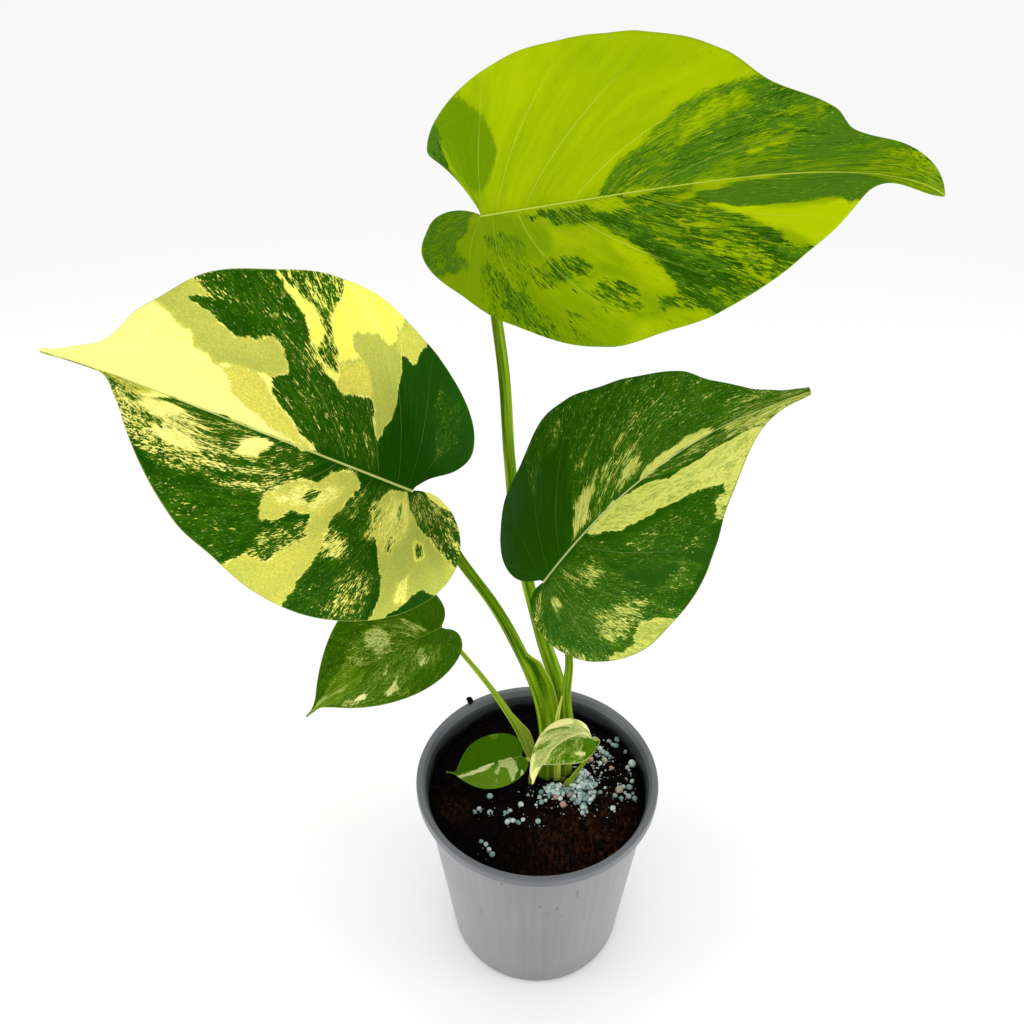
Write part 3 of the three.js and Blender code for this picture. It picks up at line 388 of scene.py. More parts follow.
leaves["leaf_right"] = {
    "at": (2, -16, 243), "length": 132, "heading": -26, "pitch": 62, "roll": 50,
    "arch": 25.5, "archPower": 1.32, "sweep": -22.5, "twist": 7, "twistPower": 1, "tipFold": 20.5,
    "left": {
        "back": 19.5, "lobe": 24.5, "open": 7, "half": 50, "wide": 36, "neck": 112, "neckHalf": 10,
        "full": 0.35, "tipFull": 0, "fold": 7, "curl": 11, "drop": 0.5,
        "trim": [(0, 0), (0.1, 0.9), (0.22, 0.4), (0.28, 1.2), (0.37, -0.7), (0.48, 1.9), (0.55, 0.7),
                 (0.64, -0.8), (0.7, 0), (0.8, 1.7), (0.85, 0), (0.91, 0.1), (0.95, 1), (0.98, 1.3),
                 (1, 0.9)],
    },
    "right": {
        "back": 12, "lobe": 9, "open": -4.5, "half": 48.5, "wide": 37.5, "neck": 107, "neckHalf": 13,
        "full": 0.59, "tipFull": 0, "fold": 4, "curl": 20, "drop": -2.5,
        "trim": [(0, 0), (0.3, 0.3), (0.43, 1), (0.5, 0.5), (0.64, 1.3), (0.7, 0.9), (0.76, -0.2),
                 (0.82, 0.4), (0.88, 1.2), (0.94, 1.1), (0.98, 1.3), (1, 0.8)],
    },
    "keel": 1, "keelWidth": 1.8, "slot": "blade_green", "seed": 3, "base": (1.12, 0, 0.5),
    "patches": [
        (1.4, 0, 0.5, 3, [(0, 0), (50, 0), (45, 40), (38, 60), (38, 110), (0, 110)]),
        (0.94, 0, 0.5, 3, [(39, 55), (39, 110), (60, 110), (60, 62), (48, 66)]),
        (0.76, 0, 0.5, 2, [(50, 70), (51, 84), (54, 86), (54, 72)]),
        (0.92, 0.2, 0.5, 3, [(57, 2), (57, 50), (60, 110), (90, 110), (90, 0), (70, 0)]),
        (0.8, 0.2, 0.5, 3, [(72, 40), (74, 95), (80, 110), (86, 100), (84, 60), (79, 30)]),
        (0.62, 0.25, 0.5, 2, [(60, 2), (65, 16), (68, 38), (73, 42), (77, 36), (78, 22), (75, 8)]),
        (0.3, 0.3, 0.6, 1.5, [(50.5, 1.5), (53, 8), (57, 22), (60, 27), (66.5, 36), (66.5, 28), (64, 16),
         (61, 5)]),
        (0.35, 0.3, 0.6, 2, [(69, 6), (71, 16), (75, 26), (76.5, 22), (74, 10)]),
        (0.35, 0, 0.7, 2, [(59, 42), (61, 50), (63, 55), (62, 42)]),
        (0.4, 0, 0.7, 2, [(70, 46), (72, 55), (73.5, 52), (71.5, 42)]),
        (-0.1, 0.5, 0.5, 1.2, [(75, 0.5), (78, 6), (82, 12), (86, 19), (88.5, 15), (89, 0), (82, -1)]),
        (0.9, 0.3, 0.6, 3, [(6, -10), (30, -3), (56, -3), (57, -20), (57, -110), (8, -110)]),
        (0.98, 0, 0.6, 3, [(12, -55), (20, -50), (28, -60), (30, -80), (20, -85), (12, -75)]),
        (0.96, 0, 0.6, 3, [(57, -6), (62, -20), (70, -38), (78, -65), (80, -80), (79, -95), (70, -95),
         (62, -70), (57, -40)]),
        (0.7, 0.2, 0.6, 2.5, [(37, -8), (44, -8), (50, -20), (46, -32), (40, -22)]),
        (0.3, 0.2, 0.6, 2.5, [(17, -33), (21, -24), (27, -24), (28, -33), (24, -38), (22, -46), (20, -40)]),
        (0.5, 0.2, 0.6, 2.5, [(47, -18), (54, -22), (55, -32), (50, -38), (47, -32)]),
        (0.48, 0.1, 0.7, 2.5, [(38, -54), (42, -50), (48, -57), (52, -60), (54, -75), (49, -80), (42, -83),
         (35, -75)]),
        (0.72, 0.2, 0.6, 2, [(62, -32), (66, -34), (70, -48), (68, -54), (64, -46)]),
        (0.74, 0.2, 0.6, 2, [(58, -74), (65, -78), (66, -95), (60, -98), (58, -86)]),
        (0.55, 0.1, 0.6, 2.5, [(6, -42), (9, -45), (11, -70), (11, -85), (7, -80)]),
        (0.62, 0.1, 0.7, 2, [(10, -90), (30, -88), (34, -110), (10, -110)]),
        (-0.3, 0.6, 0.3, 1.2, [(33.5, -97), (36, -90), (38, -94), (42, -90), (43.5, -83), (47, -82),
         (51, -90), (53, -110), (33, -110)]),
        (0.3, 0.3, 0.7, 1.2, [(74, -93), (78, -90), (80, -96), (80, -110), (74, -110)]),
        (-0.6, 0.42, 0.45, 1, [(57.5, -0.5), (62, -12), (66, -24), (70, -32), (73, -39), (77, -52),
         (79.2, -65), (80.5, -80), (81.2, -88), (80, -95), (80, -110), (93, -110), (92, -85), (90, -72),
         (88.5, -58), (86.5, -45), (84, -38), (80, -25), (78, -14), (75, -4), (70, -0.5)]),
        (0.74, 0.3, 0.6, 1.2, [(76.5, -4), (88, -5), (91, -40), (90.5, -66), (88.8, -56), (86, -40),
         (82, -28)]),
        (0.45, 0.4, 0.6, 2, [(90, 0), (90, -110), (110, -110), (110, 0)]),
        (0.72, 0.4, 0.6, 2, [(90, 110), (90, 0), (110, 0), (110, 110)]),
    ],
    "layer": 0.42, "veins": 0.12, "stretch": 1.4, "edge": 0.5, "depth": 0.3,
    "pale": "#c4ca50", "paleCream": "#dcdc78", "sage": "#95a742", "sageCream": "#b3bc58",
    "sageNet": "#82943a", "green": "#1d4b00", "greenLight": "#3c6a04", "film": "#406a0a",
    "speck": "#a0b664", "rib": "#c4ce88", "rim": "#55781c",
}
leaves["leaf_low"] = {
    "at": (-44, 9.5, 195.5), "length": 72, "heading": 210, "pitch": -2, "roll": -2,
    "arch": 31.5, "archPower": 0.61, "sweep": -5, "twist": 1, "twistPower": 1, "tipFold": 20,
    "left": {
        "back": 3.9, "lobe": 9.9, "open": 2, "half": 30.1, "wide": 20.2, "neck": 62.1, "neckHalf": 4.5,
        "full": 0.56, "tipFull": 0, "fold": 14, "curl": 18, "drop": -0.7,
    },
    "right": {
        "back": 5.3, "lobe": 11, "open": 3, "half": 32.6, "wide": 19.4, "neck": 62.9, "neckHalf": 5.2,
        "full": 0.48, "tipFull": 0, "fold": 19, "curl": -14, "drop": 0.2,
    },
    "keel": 0.6, "keelWidth": 1.2, "slot": "blade_green", "seed": 4, "base": (0.95, 0.1, 0.4),
    "patches": [
        (0.72, 0.3, 0.3, 2, [(31, 35), (34, 62), (44, 66), (49, 50), (50, 20), (45, 15), (36, 30)]),
        (0.74, 0.4, 0.3, 2, [(50, 5), (50, 90), (56, 100), (80, 110), (78, 50), (70, 5)]),
        (0.48, 0.2, 0.6, 1.2, [(43, 42), (44, 55), (47, 55), (50, 35), (49, 20), (46, 20)]),
        (0.1, 0.3, 0.6, 1, [(56, 80), (58.5, 88), (61, 84), (61, 65), (59, 60), (57.5, 68)]),
        (0.3, 0.2, 0.6, 1.5, [(65, 50), (66, 30), (68, 20), (68, 45)]),
        (-0.1, 0, 1, 0.8, [(70, 84), (71, 78), (73.5, 74), (74.5, 84), (73, 90)]),
        (0.45, 0.2, 0.8, 1, [(70, 90), (74, 100), (80, 96), (77, 84)]),
        (0.66, 0.4, 0.3, 2, [(36, -3), (45, -30), (55, -50), (70, -65), (82, -50), (85, -10), (70, -2)]),
        (0.42, 0.3, 0.4, 1.5, [(37, -8), (43, -20), (46, -36), (49, -30), (46, -14), (40, -5)]),
        (0.35, 0.3, 0.5, 1.5, [(58, -35), (62, -20), (69, -15), (70, -40), (64, -55), (60, -50)]),
        (0.5, 0.3, 0.4, 1.5, [(73, -30), (77, -45), (79, -30), (76, -20)]),
        (0.62, 0.7, 0.2, 2, [(80, 90), (78, 10), (78, -50), (86, -60), (110, -50), (110, 110)]),
        (0.4, 0.5, 0.3, 1.5, [(86, 50), (84, 10), (90, -10), (93, -70), (110, -70), (110, 30), (92, 10)]),
    ],
    "layer": 0.42, "veins": 0.16, "stretch": 1.3, "edge": 0.5, "depth": 0.35,
    "pale": "#b4be5c", "paleCream": "#e4e69a", "sage": "#74941c", "sageCream": "#a0b048",
    "sageNet": "#648414", "green": "#254d00", "greenLight": "#4a7400", "film": "#4e7800",
    "speck": "#8ea844", "rib": "#7f9c30", "rim": "#7a962c",
}
leaves["leaf_small_left"] = {
    "at": (-7.3, -4.9, 127.4), "length": 37.5, "heading": 194, "pitch": -14, "roll": 4,
    "arch": -27.5, "archPower": 2.55, "sweep": -8, "twist": -9.5, "twistPower": 1, "tipFold": 25.5,
    "left": {
        "back": 2, "lobe": 6.2, "open": 1.1, "half": 15.5, "wide": 11, "neck": 33, "neckHalf": 2.6,
        "full": 0.63, "tipFull": 0, "fold": 14, "curl": 13, "drop": -0.5,
    },
    "right": {
        "back": 1.3, "lobe": 6.5, "open": 1.2, "half": 15.9, "wide": 11.3, "neck": 32.1, "neckHalf": 1.7,
        "full": 0.72, "tipFull": 0, "fold": 15, "curl": 0, "drop": 0.7,
    },
    "keel": 0.4, "keelWidth": 0.9, "slot": "blade_green", "seed": 5, "base": (1.3, 0, 0.4),
    "patches": [
        (0.92, 0.95, 0.3, 1, [(30, -2), (42, 10), (90, 2), (90, 110), (40, 110)]),
        (0.1, 0.3, 0.4, 1, [(22, 110), (23.5, 75), (26, 70), (27, 95), (27, 110)]),
        (0.12, 0.5, 0.35, 0.8, [(30, 62), (33, 35), (40, 6), (44, -6), (62, -10), (64, 8), (56, 22),
         (50, 32), (46, 50), (41, 72), (37, 95), (34, 90), (34, 70)]),
        (0.35, 0.4, 0.7, 0.8, [(58, 50), (59, 25), (60, 5), (64, 4), (64, 30), (61, 46)]),
        (0, 0.4, 0.9, 0.8, [(64, -10), (70, 0), (72, 15), (76, 25), (80, 30), (81, 50), (84, 70), (84, 110),
         (89, 110), (88, 60), (86, 20), (84, 0), (78, -12)]),
        (0.45, 0.5, 0.4, 1, [(52, 85), (54, 66), (57, 62), (56, 90)]),
        (0.72, 0.2, 0.3, 1, [(36, -90), (42, -76), (46, -80), (45, -110), (36, -110)]),
    ],
    "layer": 0.5, "veins": 0.15, "stretch": 1.2, "edge": 0.6, "depth": 0.5,
    "pale": "#a9b672", "paleCream": "#e2e0a4", "sage": "#86a048", "sageCream": "#a6b66a",
    "sageNet": "#7a9440", "green": "#365f00", "greenLight": "#5a820c", "film": "#5c7c14",
    "speck": "#93aa5c", "rib": "#8aa444", "rim": "#54780c",
}
leaves["leaf_small_front"] = {
    "at": (24.6, -9.7, 147), "length": 39.5, "heading": 175.5, "pitch": 50.5, "roll": 43,
    "arch": 120.5, "archPower": 0.6, "sweep": 35, "twist": -11, "twistPower": 1, "tipFold": 34,
    "left": {
        "back": 1.3, "lobe": 5.7, "open": -1.6, "half": 13.7, "wide": 12.8, "neck": 28.9, "neckHalf": 1.4,
        "full": 0.53, "tipFull": 0, "fold": -6, "curl": 45, "drop": -2.6,
    },
    "right": {
        "back": 3.7, "lobe": 7.4, "open": 1.6, "half": 11, "wide": 9.1, "neck": 34.8, "neckHalf": 3.7,
        "full": 0.35, "tipFull": 0, "fold": 20, "curl": -8, "drop": 0.8,
    },
    "keel": 0.4, "keelWidth": 0.9, "slot": "blade_pale", "seed": 6, "base": (0.2, 0.6, 0.3),
    "patches": [
        (0.2, 0.6, 0.5, 1.5, [(10, -5), (90, -5), (90, -110), (10, -110)]),
        (-0.3, 0.1, 0.4, 1, [(20, -4), (40, -10), (70, -6), (90, -10), (90, 4), (20, 4)]),
        (0.62, 0.6, 0.3, 1.5, [(20, -30), (26, -35), (24, -110), (19, -110)]),
        (-0.3, 0.1, 1, 1.2, [(34, -85), (36, -74), (40, -62), (47, -60), (54, -70), (58, -95), (60, -110),
         (34, -110)]),
        (-0.2, 0.3, 0.8, 0.8, [(58, -110), (60, -88), (70, -90), (80, -84), (92, -80), (92, -110)]),
        (-0.1, 0.4, 0.7, 1, [(16, -50), (20, -45), (26, -55), (30, -75), (30, -110), (20, -110)]),
        (0.7, 0.5, 0.3, 1, [(45, -36), (52, -36), (54, -50), (58, -66), (61, -85), (58, -85), (52, -64),
         (48, -50)]),
        (0.58, 0.6, 0.3, 1.2, [(70, -45), (75, -40), (77, -60), (76, -80), (80, -110), (72, -110)]),
        (1.05, 0.2, 0.4, 1.5, [(10, 25), (30, 24), (47, 20), (47, 70), (42, 110), (12, 110)]),
        (0.66, 0.5, 0.4, 1, [(44, 18), (60, 8), (80, 6), (80, 110), (42, 110), (47, 70)]),
        (0.2, 0.3, 0.7, 1, [(42, 85), (43, 75), (50, 66), (55, 70), (48, 80)]),
        (0.95, 0.3, 0.4, 1, [(61, 66), (66, 66), (68, 85), (63, 88)]),
        (0.95, 0.3, 0.4, 1, [(56, 22), (60, 50), (64, 40), (66, 22)]),
        (-0.2, 0.5, 0.6, 0.8, [(80, 2), (81, 50), (82, 110), (91, 110), (93, 50), (91, -10)]),
        (-0.2, 0.1, 0.8, 0.8, [(90, -10), (90, -60), (94, -110), (110, -110), (110, 0)]),
    ],
    "layer": 0.5, "veins": 0.2, "stretch": 1.2, "edge": 0.6, "depth": 0.5,
    "pale": "#bec878", "paleCream": "#f4ee9c", "sage": "#9bac50", "sageCream": "#bcc674",
    "sageNet": "#869c4a", "green": "#3c6400", "greenLight": "#5e8406", "film": "#5c7e0c",
    "speck": "#c4d090", "rib": "#d6da98", "rim": "#ccd288",
}

bladeShape = {
    "thick": 0.9, "thickSmall": 0.7, "thickMargin": 0.35,  # the first two are at the midrib
    "smallUnder": 60,      # length of a small blade at most
    "notchHalf": 1.2, "tipHalf": 0.4, "rimBulge": 0.12,
    "veinPitch": 31,       # between two main side veins at the margin
    "veinLean": 0.16,      # how far a vein leans to the tip on its way out, as a share of the half's edge
    "veinRoots": (0.04, 2.6),  # the first one's share of the midrib, and the power that packs the others
    "quilt": 0.1, "furrow": 0.12, "furrowShare": 0.05,
    "wave": 0.55, "waveSize": 24, "fine": 0.06, "fineSize": 5,
    "groove": (0.15, 0.3), "ridge": (0.12, 0.35, 0.6),  # of the midrib: height, and shares of its width
    "ragged": ((1.8, 8, 3), (0.9, 3.4, 5), (0.55, 1.7, 6)),  # of a patch's edge: reach, size, seed
    "blur": 1.4,           # on a patch's softness
}


def eased(pairs, share):
    # values at shares of a list of (share, value) pairs, with an S-shaped step between neighbours
    result = np.full(np.shape(share), float(pairs[0][1]))
    for (s0, v0), (s1, v1) in zip(pairs, pairs[1:]):
        result += (v1 - v0) * smooth(s0, s1, share)
    return result


def cubic(controls, count):
    # points of a cubic curve from its four control points
    t = np.linspace(0, 1, count)[:, None]
    a, b, c, d = (np.array(p, float) for p in controls)
    return (1 - t) ** 3 * a + 3 * (1 - t) ** 2 * t * b + 3 * (1 - t) * t * t * c + t ** 3 * d


def halfOutline(length, half, shares):
    # flat edge of one half, round the lobe and on to the tip, at shares of its own length
    back, lobe, opening, crest = half["back"], half["lobe"], half["open"], half["half"]
    wide, neck, neckHalf = half["wide"], half["neck"], half["neckHalf"]
    bend = np.array([wide + half["full"] * (neck - wide), crest])
    slope = (neck - bend[0], neckHalf - bend[1])
    slope = np.array(slope) / math.hypot(*slope)
    tail = length - neck
    curves = [
        [(0, bladeShape["notchHalf"]), (-0.55 * back, opening), (-back, opening + 0.45 * (lobe - opening)),
         (-back, lobe)],
        [(-back, lobe), (-back, lobe + 0.55 * (crest - lobe)), (wide - 0.55 * (wide + back), crest),
         (wide, crest)],
        [(wide, crest), (wide + (bend[0] - wide) * 2 / 3, crest),
         (neck + (bend[0] - neck) * 2 / 3, neckHalf + (bend[1] - neckHalf) * 2 / 3), (neck, neckHalf)],
        [(neck, neckHalf), (neck + slope[0] * 0.42 * tail, neckHalf + slope[1] * 0.42 * tail),
         (length - 0.4 * tail, bladeShape["tipHalf"] + half["tipFull"]), (length, bladeShape["tipHalf"])],
    ]
    dense = np.vstack([cubic(c, 120)[1 if i else 0:] for i, c in enumerate(curves)])
    walked = np.concatenate([[0], np.cumsum(np.hypot(*np.diff(dense, axis=0).T))])
    target = np.asarray(shares) * walked[-1]
    edge = np.stack([np.interp(target, walked, dense[:, i]) for i in (0, 1)], -1)
    if "trim" in half:
        turned = np.gradient(edge, axis=0)
        outward = np.stack([-turned[:, 1], turned[:, 0]], -1) / np.linalg.norm(turned, axis=1, keepdims=True)
        edge = edge + outward * eased(half["trim"], shares)[:, None]
    return edge, walked[-1]


def midribFrames(leaf, x):
    # the bent midrib: arch, sweep and twist grow with powers of the way along, and the centre is the
    # running sum of the direction
    steps = 400
    k = np.linspace(0, 1, steps + 1)
    droop = np.radians(leaf["arch"]) * k ** leaf["archPower"]
    swing = np.radians(leaf["sweep"]) * k * k
    turn = np.radians(leaf["twist"])[None] * k ** leaf["twistPower"]
    ahead = np.stack([np.cos(droop) * np.cos(swing), np.cos(droop) * np.sin(swing), -np.sin(droop)], -1)
    level = np.stack([-np.sin(swing), np.cos(swing), 0 * swing], -1)
    normal = np.cross(ahead, level)
    cosTurn, sinTurn = np.cos(turn)[:, None], np.sin(turn)[:, None]
    across = level * cosTurn + normal * sinTurn
    up = normal * cosTurn - level * sinTurn
    step = (ahead[1:] + ahead[:-1]) / 2 * leaf["length"] / steps
    centre = np.vstack([[0, 0, 0], np.cumsum(step, axis=0)])
    place = np.clip(x / leaf["length"], 0, 1)
    return [np.stack([np.interp(place, k, axis[:, i]) for i in range(3)], -1)
            for axis in (centre, ahead, across, up)]


def bentPoints(leaf, side, x, y):
    # flat points of one half bent into shape: across the midrib the half rises by its fold and rolls
    # down by its curl on a circular arc, and behind the stalk it follows the first direction
    half = leaf["left"] if side > 0 else leaf["right"]
    centre, ahead, across, up = midribFrames(leaf, x)
    behind = np.minimum(x, 0)
    share = np.clip(x / leaf["length"], 0, 1)
    rise = np.radians(half["fold"] + leaf["tipFold"] * share ** 3)
    bend = math.radians(half["curl"] or 0.01) / half["half"]
    out = (np.sin(rise) - np.sin(rise - bend * y)) / bend
    lift = (np.cos(rise - bend * y) - np.cos(rise)) / bend
    drop = half["drop"] * (behind / half["back"]) ** 2
    return (centre + ahead * behind[..., None] + across * (side * out)[..., None]
            + up * (lift - drop)[..., None])


def leafAxes(leaf):
    # directions of a blade at its stalk: ahead along the midrib, across to its left half, and up
    heading, pitch, roll = (math.radians(leaf[k]) for k in ("heading", "pitch", "roll"))
    level = np.array([-math.sin(heading), math.cos(heading), 0])
    ahead = np.array([level[1] * math.cos(pitch), -level[0] * math.cos(pitch), math.sin(pitch)])
    normal = np.cross(ahead, level)
    across = level * math.cos(roll) + normal * math.sin(roll)
    up = normal * math.cos(roll) - level * math.sin(roll)
    return ahead, across, up


def insideDistance(points, outline):
    # signed distance to a closed outline, positive inside, for all points at once
    a = np.array(outline, float)
    b = np.roll(a, -1, axis=0)
    nearest = np.full(points.shape[:-1], 1e9)
    inside = np.zeros(points.shape[:-1], bool)
    for start, end in zip(a, b):
        edge = end - start
        t = np.clip(((points - start) @ edge) / max(edge @ edge, 1e-9), 0, 1)
        nearest = np.minimum(nearest, np.linalg.norm(points - start - t[..., None] * edge, axis=-1))
        crosses = (start[1] > points[..., 1]) != (end[1] > points[..., 1])
        rise = (points[..., 1] - start[1]) / (edge[1] if abs(edge[1]) > 1e-9 else 1e-9)
        inside ^= crosses & (points[..., 0] < start[0] + rise * edge[0])
    return np.where(inside, nearest, -nearest)


def bladeSurface(leaf, rows, columns):
    # grid over both halves: a row for each vein from the midrib to the margin. The vein's root on the
    # midrib is a power of its share along the edge, and the vein bows towards the tip.
    shares = np.linspace(0, 1, rows)
    t = np.linspace(0, 1, columns + 1)
    t = 0.55 * t ** 2 + 0.45 * t
    first, power = bladeShape["veinRoots"]
    root = leaf["length"] * (first * shares + (1 - first) * shares ** power)
    sides = []
    for side in (-1, 1):
        half = leaf["left"] if side > 0 else leaf["right"]
        edge, edgeLength = halfOutline(leaf["length"], half, shares)
        out, along = t[None, :], shares[:, None]
        edgeX, edgeY = edge[:, :1], edge[:, 1:]
        bend = root[:, None] + 0.25 * (edgeX - root[:, None])
        x = (1 - out) ** 2 * root[:, None] + 2 * out * (1 - out) * bend + out ** 2 * edgeX
        y = 2 * out * (1 - out) * 0.6 * edgeY + out ** 2 * edgeY
        point = bentPoints(leaf, side, x, y)
        step = 0.05
        dx = bentPoints(leaf, side, x + step, y) - bentPoints(leaf, side, x - step, y)
        dy = bentPoints(leaf, side, x, y + step) - bentPoints(leaf, side, x, y - step)
        normal = np.cross(dx, dy) * side
        normal /= np.linalg.norm(normal, axis=-1, keepdims=True)
        out, along = np.broadcast_to(out, x.shape), np.broadcast_to(along, x.shape)
        lean = along + bladeShape["veinLean"] * (1 - out) ** 1.8
        sides.append({"point": point, "normal": normal, "x": x, "y": y, "out": out, "along": along,
                      "lean": lean, "edgeLength": edgeLength, "half": half["half"]})
    return sides


def makeBlade(name, leaf, rows, columns):
    # both halves in one grid from the right margin to the left, with an upper and a lower face set off
    # along the normal and a rounded rim between them
    right, left = bladeSurface(leaf, rows, columns)
    point, normal, x, y, out, along, lean = (
        np.concatenate([right[key][:, :0:-1], left[key]], axis=1)
        for key in ("point", "normal", "x", "y", "out", "along", "lean"))
    middle = right["normal"][:, 0] + left["normal"][:, 0]
    normal[:, columns] = middle / np.linalg.norm(middle, axis=-1, keepdims=True)
    width = 2 * columns + 1
    side = np.where(np.arange(width) < columns, -1, 1)[None, :]
    edgeLength = (right["edgeLength"] + left["edgeLength"]) / 2
    halfWidth = (right["half"] + left["half"]) / 2
    across = out * side
    flatPlace = np.stack([x, y * side, np.full_like(x, leaf["seed"] * 50)], -1)

    # relief: main side veins lie in shallow furrows with the tissue quilted up between them
    shape = bladeShape
    scale = leaf["length"] / 150
    cellScale = max(scale, 0.4)
    count = max(5, round(edgeLength / (shape["veinPitch"] * cellScale)))
    pitch = edgeLength / count
    flowAcross = lean * edgeLength + np.where(side > 0, 0, 0.2 * pitch)
    turnShare = flowAcross / pitch
    offVein = np.abs(turnShare - np.round(turnShare)) / shape["furrowShare"]
    fade = smooth(0.02, 0.25, out) * (1 - smooth(0.75, 1, out))
    relief = scale * fade * (-shape["quilt"] * np.cos(2 * np.pi * turnShare)
                             - shape["furrow"] * np.exp(-offVein ** 2))
    wave = lumps(flatPlace, shape["waveSize"] * cellScale, leaf["seed"])
    relief += shape["wave"] * scale * wave * smooth(0.1, 1, out)
    fine = lumps(flatPlace, shape["fineSize"] * cellScale, leaf["seed"] + 20)
    relief += shape["fine"] * scale * fine * smooth(0, 0.3, out)
    fromRib = np.hypot(np.minimum(x, 0), y)
    toTip = np.clip(1 - x / leaf["length"], 0, 1)
    ribWidth = leaf["keelWidth"] * (0.3 + 0.7 * toTip)
    depth, wide = shape["groove"]
    midrib = -depth * np.exp(-(fromRib / (wide * ribWidth)) ** 2)
    rise, wide, away = shape["ridge"]
    midrib += rise * np.exp(-((fromRib - away * ribWidth) / (wide * ribWidth)) ** 2)

    thick = shape["thick"] if leaf["length"] > shape["smallUnder"] else shape["thickSmall"]
    halfThick = (thick + (shape["thickMargin"] - thick) * smooth(0, 1, out)) / 2
    keel = leaf["keel"] * toTip ** 0.8 * np.exp(-(fromRib / leaf["keelWidth"]) ** 2)
    upper = point + normal * (halfThick + relief + scale * midrib)[..., None]
    lower = point - normal * (halfThick + keel - relief)[..., None]
    outward = point[:, [0, -1]] - point[:, [1, -2]]
    outward /= np.linalg.norm(outward, axis=-1, keepdims=True)
    rim = (upper[:, [0, -1]] + lower[:, [0, -1]]) / 2 + outward * shape["rimBulge"]

    # variegation, painted patch by patch in the plane of the veins
    plane = np.stack([along * edgeLength, across * halfWidth], -1)
    ragged = sum(reach * scale * lumps(flatPlace, size * max(scale, 0.35), leaf["seed"] + seed)
                 for reach, size, seed in shape["ragged"])
    green, sage, cream = (np.full(across.shape, float(v)) for v in leaf["base"])
    for greenShare, sageShare, creamShare, soft, outline in leaf["patches"]:
        corners = np.array(outline) / 100 * (edgeLength, halfWidth)
        blur = shape["blur"] * soft * scale
        weight = smooth(-blur, blur, insideDistance(plane, corners) + ragged)
        green += (greenShare - green) * weight
        sage += (sageShare - sage) * weight
        cream += (creamShare - cream) * weight

    # the shader draws the midrib, the side veins and the pale margin from these distances
    veinFade = smooth(0.0, 0.05, out) * (1 - 0.85 * smooth(0.25, 0.85, out))
    veinFade *= 1 - 0.6 * smooth(0.5, 0.9, along)
    flow = np.stack([flowAcross, across * halfWidth, np.full_like(across, leaf["seed"] * 10)], -1)
    flow[..., 2] += 40 * side

    points = np.concatenate([upper.reshape(-1, 3), lower.reshape(-1, 3), rim.reshape(-1, 3)])
    points = points @ np.stack(leafAxes(leaf)) + np.array(leaf["at"], float)

    per = rows * width
    quads = gridQuads(rows, width)
    r = np.arange(rows - 1)
    rimIds = 2 * per + np.arange(rows * 2).reshape(rows, 2)
    strips = []
    for column, which, flip in ((0, 0, False), (width - 1, 1, True)):
        u0, u1 = r * width + column, (r + 1) * width + column
        m0, m1 = rimIds[:-1, which], rimIds[1:, which]
        for quad in (np.stack([u0, m0, m1, u1], -1), np.stack([m0, u0 + per, u1 + per, m1], -1)):
            strips.append(quad[:, ::-1] if flip else quad)
    c = np.arange(width - 1)
    last = (rows - 1) * width
    strips.append(np.stack([c, c + 1, c + 1 + per, c + per], -1))
    strips.append(np.stack([last + c, last + c + per, last + c + 1 + per, last + c + 1], -1))
    ends = np.array([
        [0, per, rimIds[0, 0]], [width - 1, rimIds[0, 1], per + width - 1],
        [last, rimIds[-1, 0], per + last], [last + width - 1, per + last + width - 1, rimIds[-1, 1]],
    ])

    def spread(value):
        # one value for each vertex of the upper face, the lower face and the rim
        value = np.broadcast_to(value, (rows, width) + np.shape(value)[2:])
        tail = value.shape[2:]
        return np.concatenate([value.reshape((-1,) + tail)] * 2 + [value[:, [0, -1]].reshape((-1,) + tail)])

    values = {
        "greenShare": green, "sageShare": sage, "creamShare": cream, "ribAway": fromRib / ribWidth,
        "rimAway": (1 - out) * halfWidth, "veinFade": veinFade, "flow": flow,
    }
    values = {key: spread(value) for key, value in values.items()}
    values["under"] = np.concatenate([np.zeros(per), np.ones(per), np.full(2 * rows, 0.2)])
    material = variegatedBlade(name.replace("leaf_", "waxyBlade_"), leaf, scale, pitch)
    faces = [quads[:, ::-1], quads + per] + strips + [ends]
    fixNormals(makePiece(name + "_blade", points, faces, material, leaf["slot"], [name], values))


# Cells of the variegation in millimetres on a large blade: across the veins, along them, fine octaves.
bladePattern = {
    "clump": (5, 10, 5), "fleck": (0.8, 1.9, 5), "layerClump": (4, 7, 5), "layerFleck": (0.7, 1.5, 5),
    "tone": (20, 28, 3), "shade": (0.7, 1.6, 3), "speck": (0.8, 1.7, 3),
}
bladeLook = {
    "clumpShare": 0.42,    # the rest of the fleck pattern is the fine noise
    "spread": (0.385, 0.615), "greenEdge": (0.47, 0.53), "sageEdge": (0.46, 0.54), "filmShare": 0.8,
    "marbled": (0.6, 0.28, 0.5),  # green share in the middle of the marbled tissue, and how far it reaches
    "specked": (0.82, 0.1, 0.24), "speck": (0.61, 0.65), "speckShare": 0.75,
    "netCell": 1.3, "netShare": 0.34, "grain": 0.9,
    "veinWidth": 0.65, "fineVeins": 5, "fineVeinShare": 0.1,
    "lines": {  # along the midrib and the margin: inner and outer edge, strength and colour
        # beside and groove are painted shadow: darker green flanking the pale rib and a dark line in its
        # middle groove
        "beside": (0.25, 0.55, 0.35, "greenLight"), "rib": (0.2, 0.36, 0.9, "rib"),
        "groove": (0.03, 0.08, 0.35, "greenLight"), "rim": (0.1, 0.32, 0.5, "rim"),
    },
    "underside": "#7f9a4a", "roughness": (0.36, 0.46), "specular": 0.015,
}
inColour = {"output": 2, "data_type": "RGBA"}  # a mix of two colours


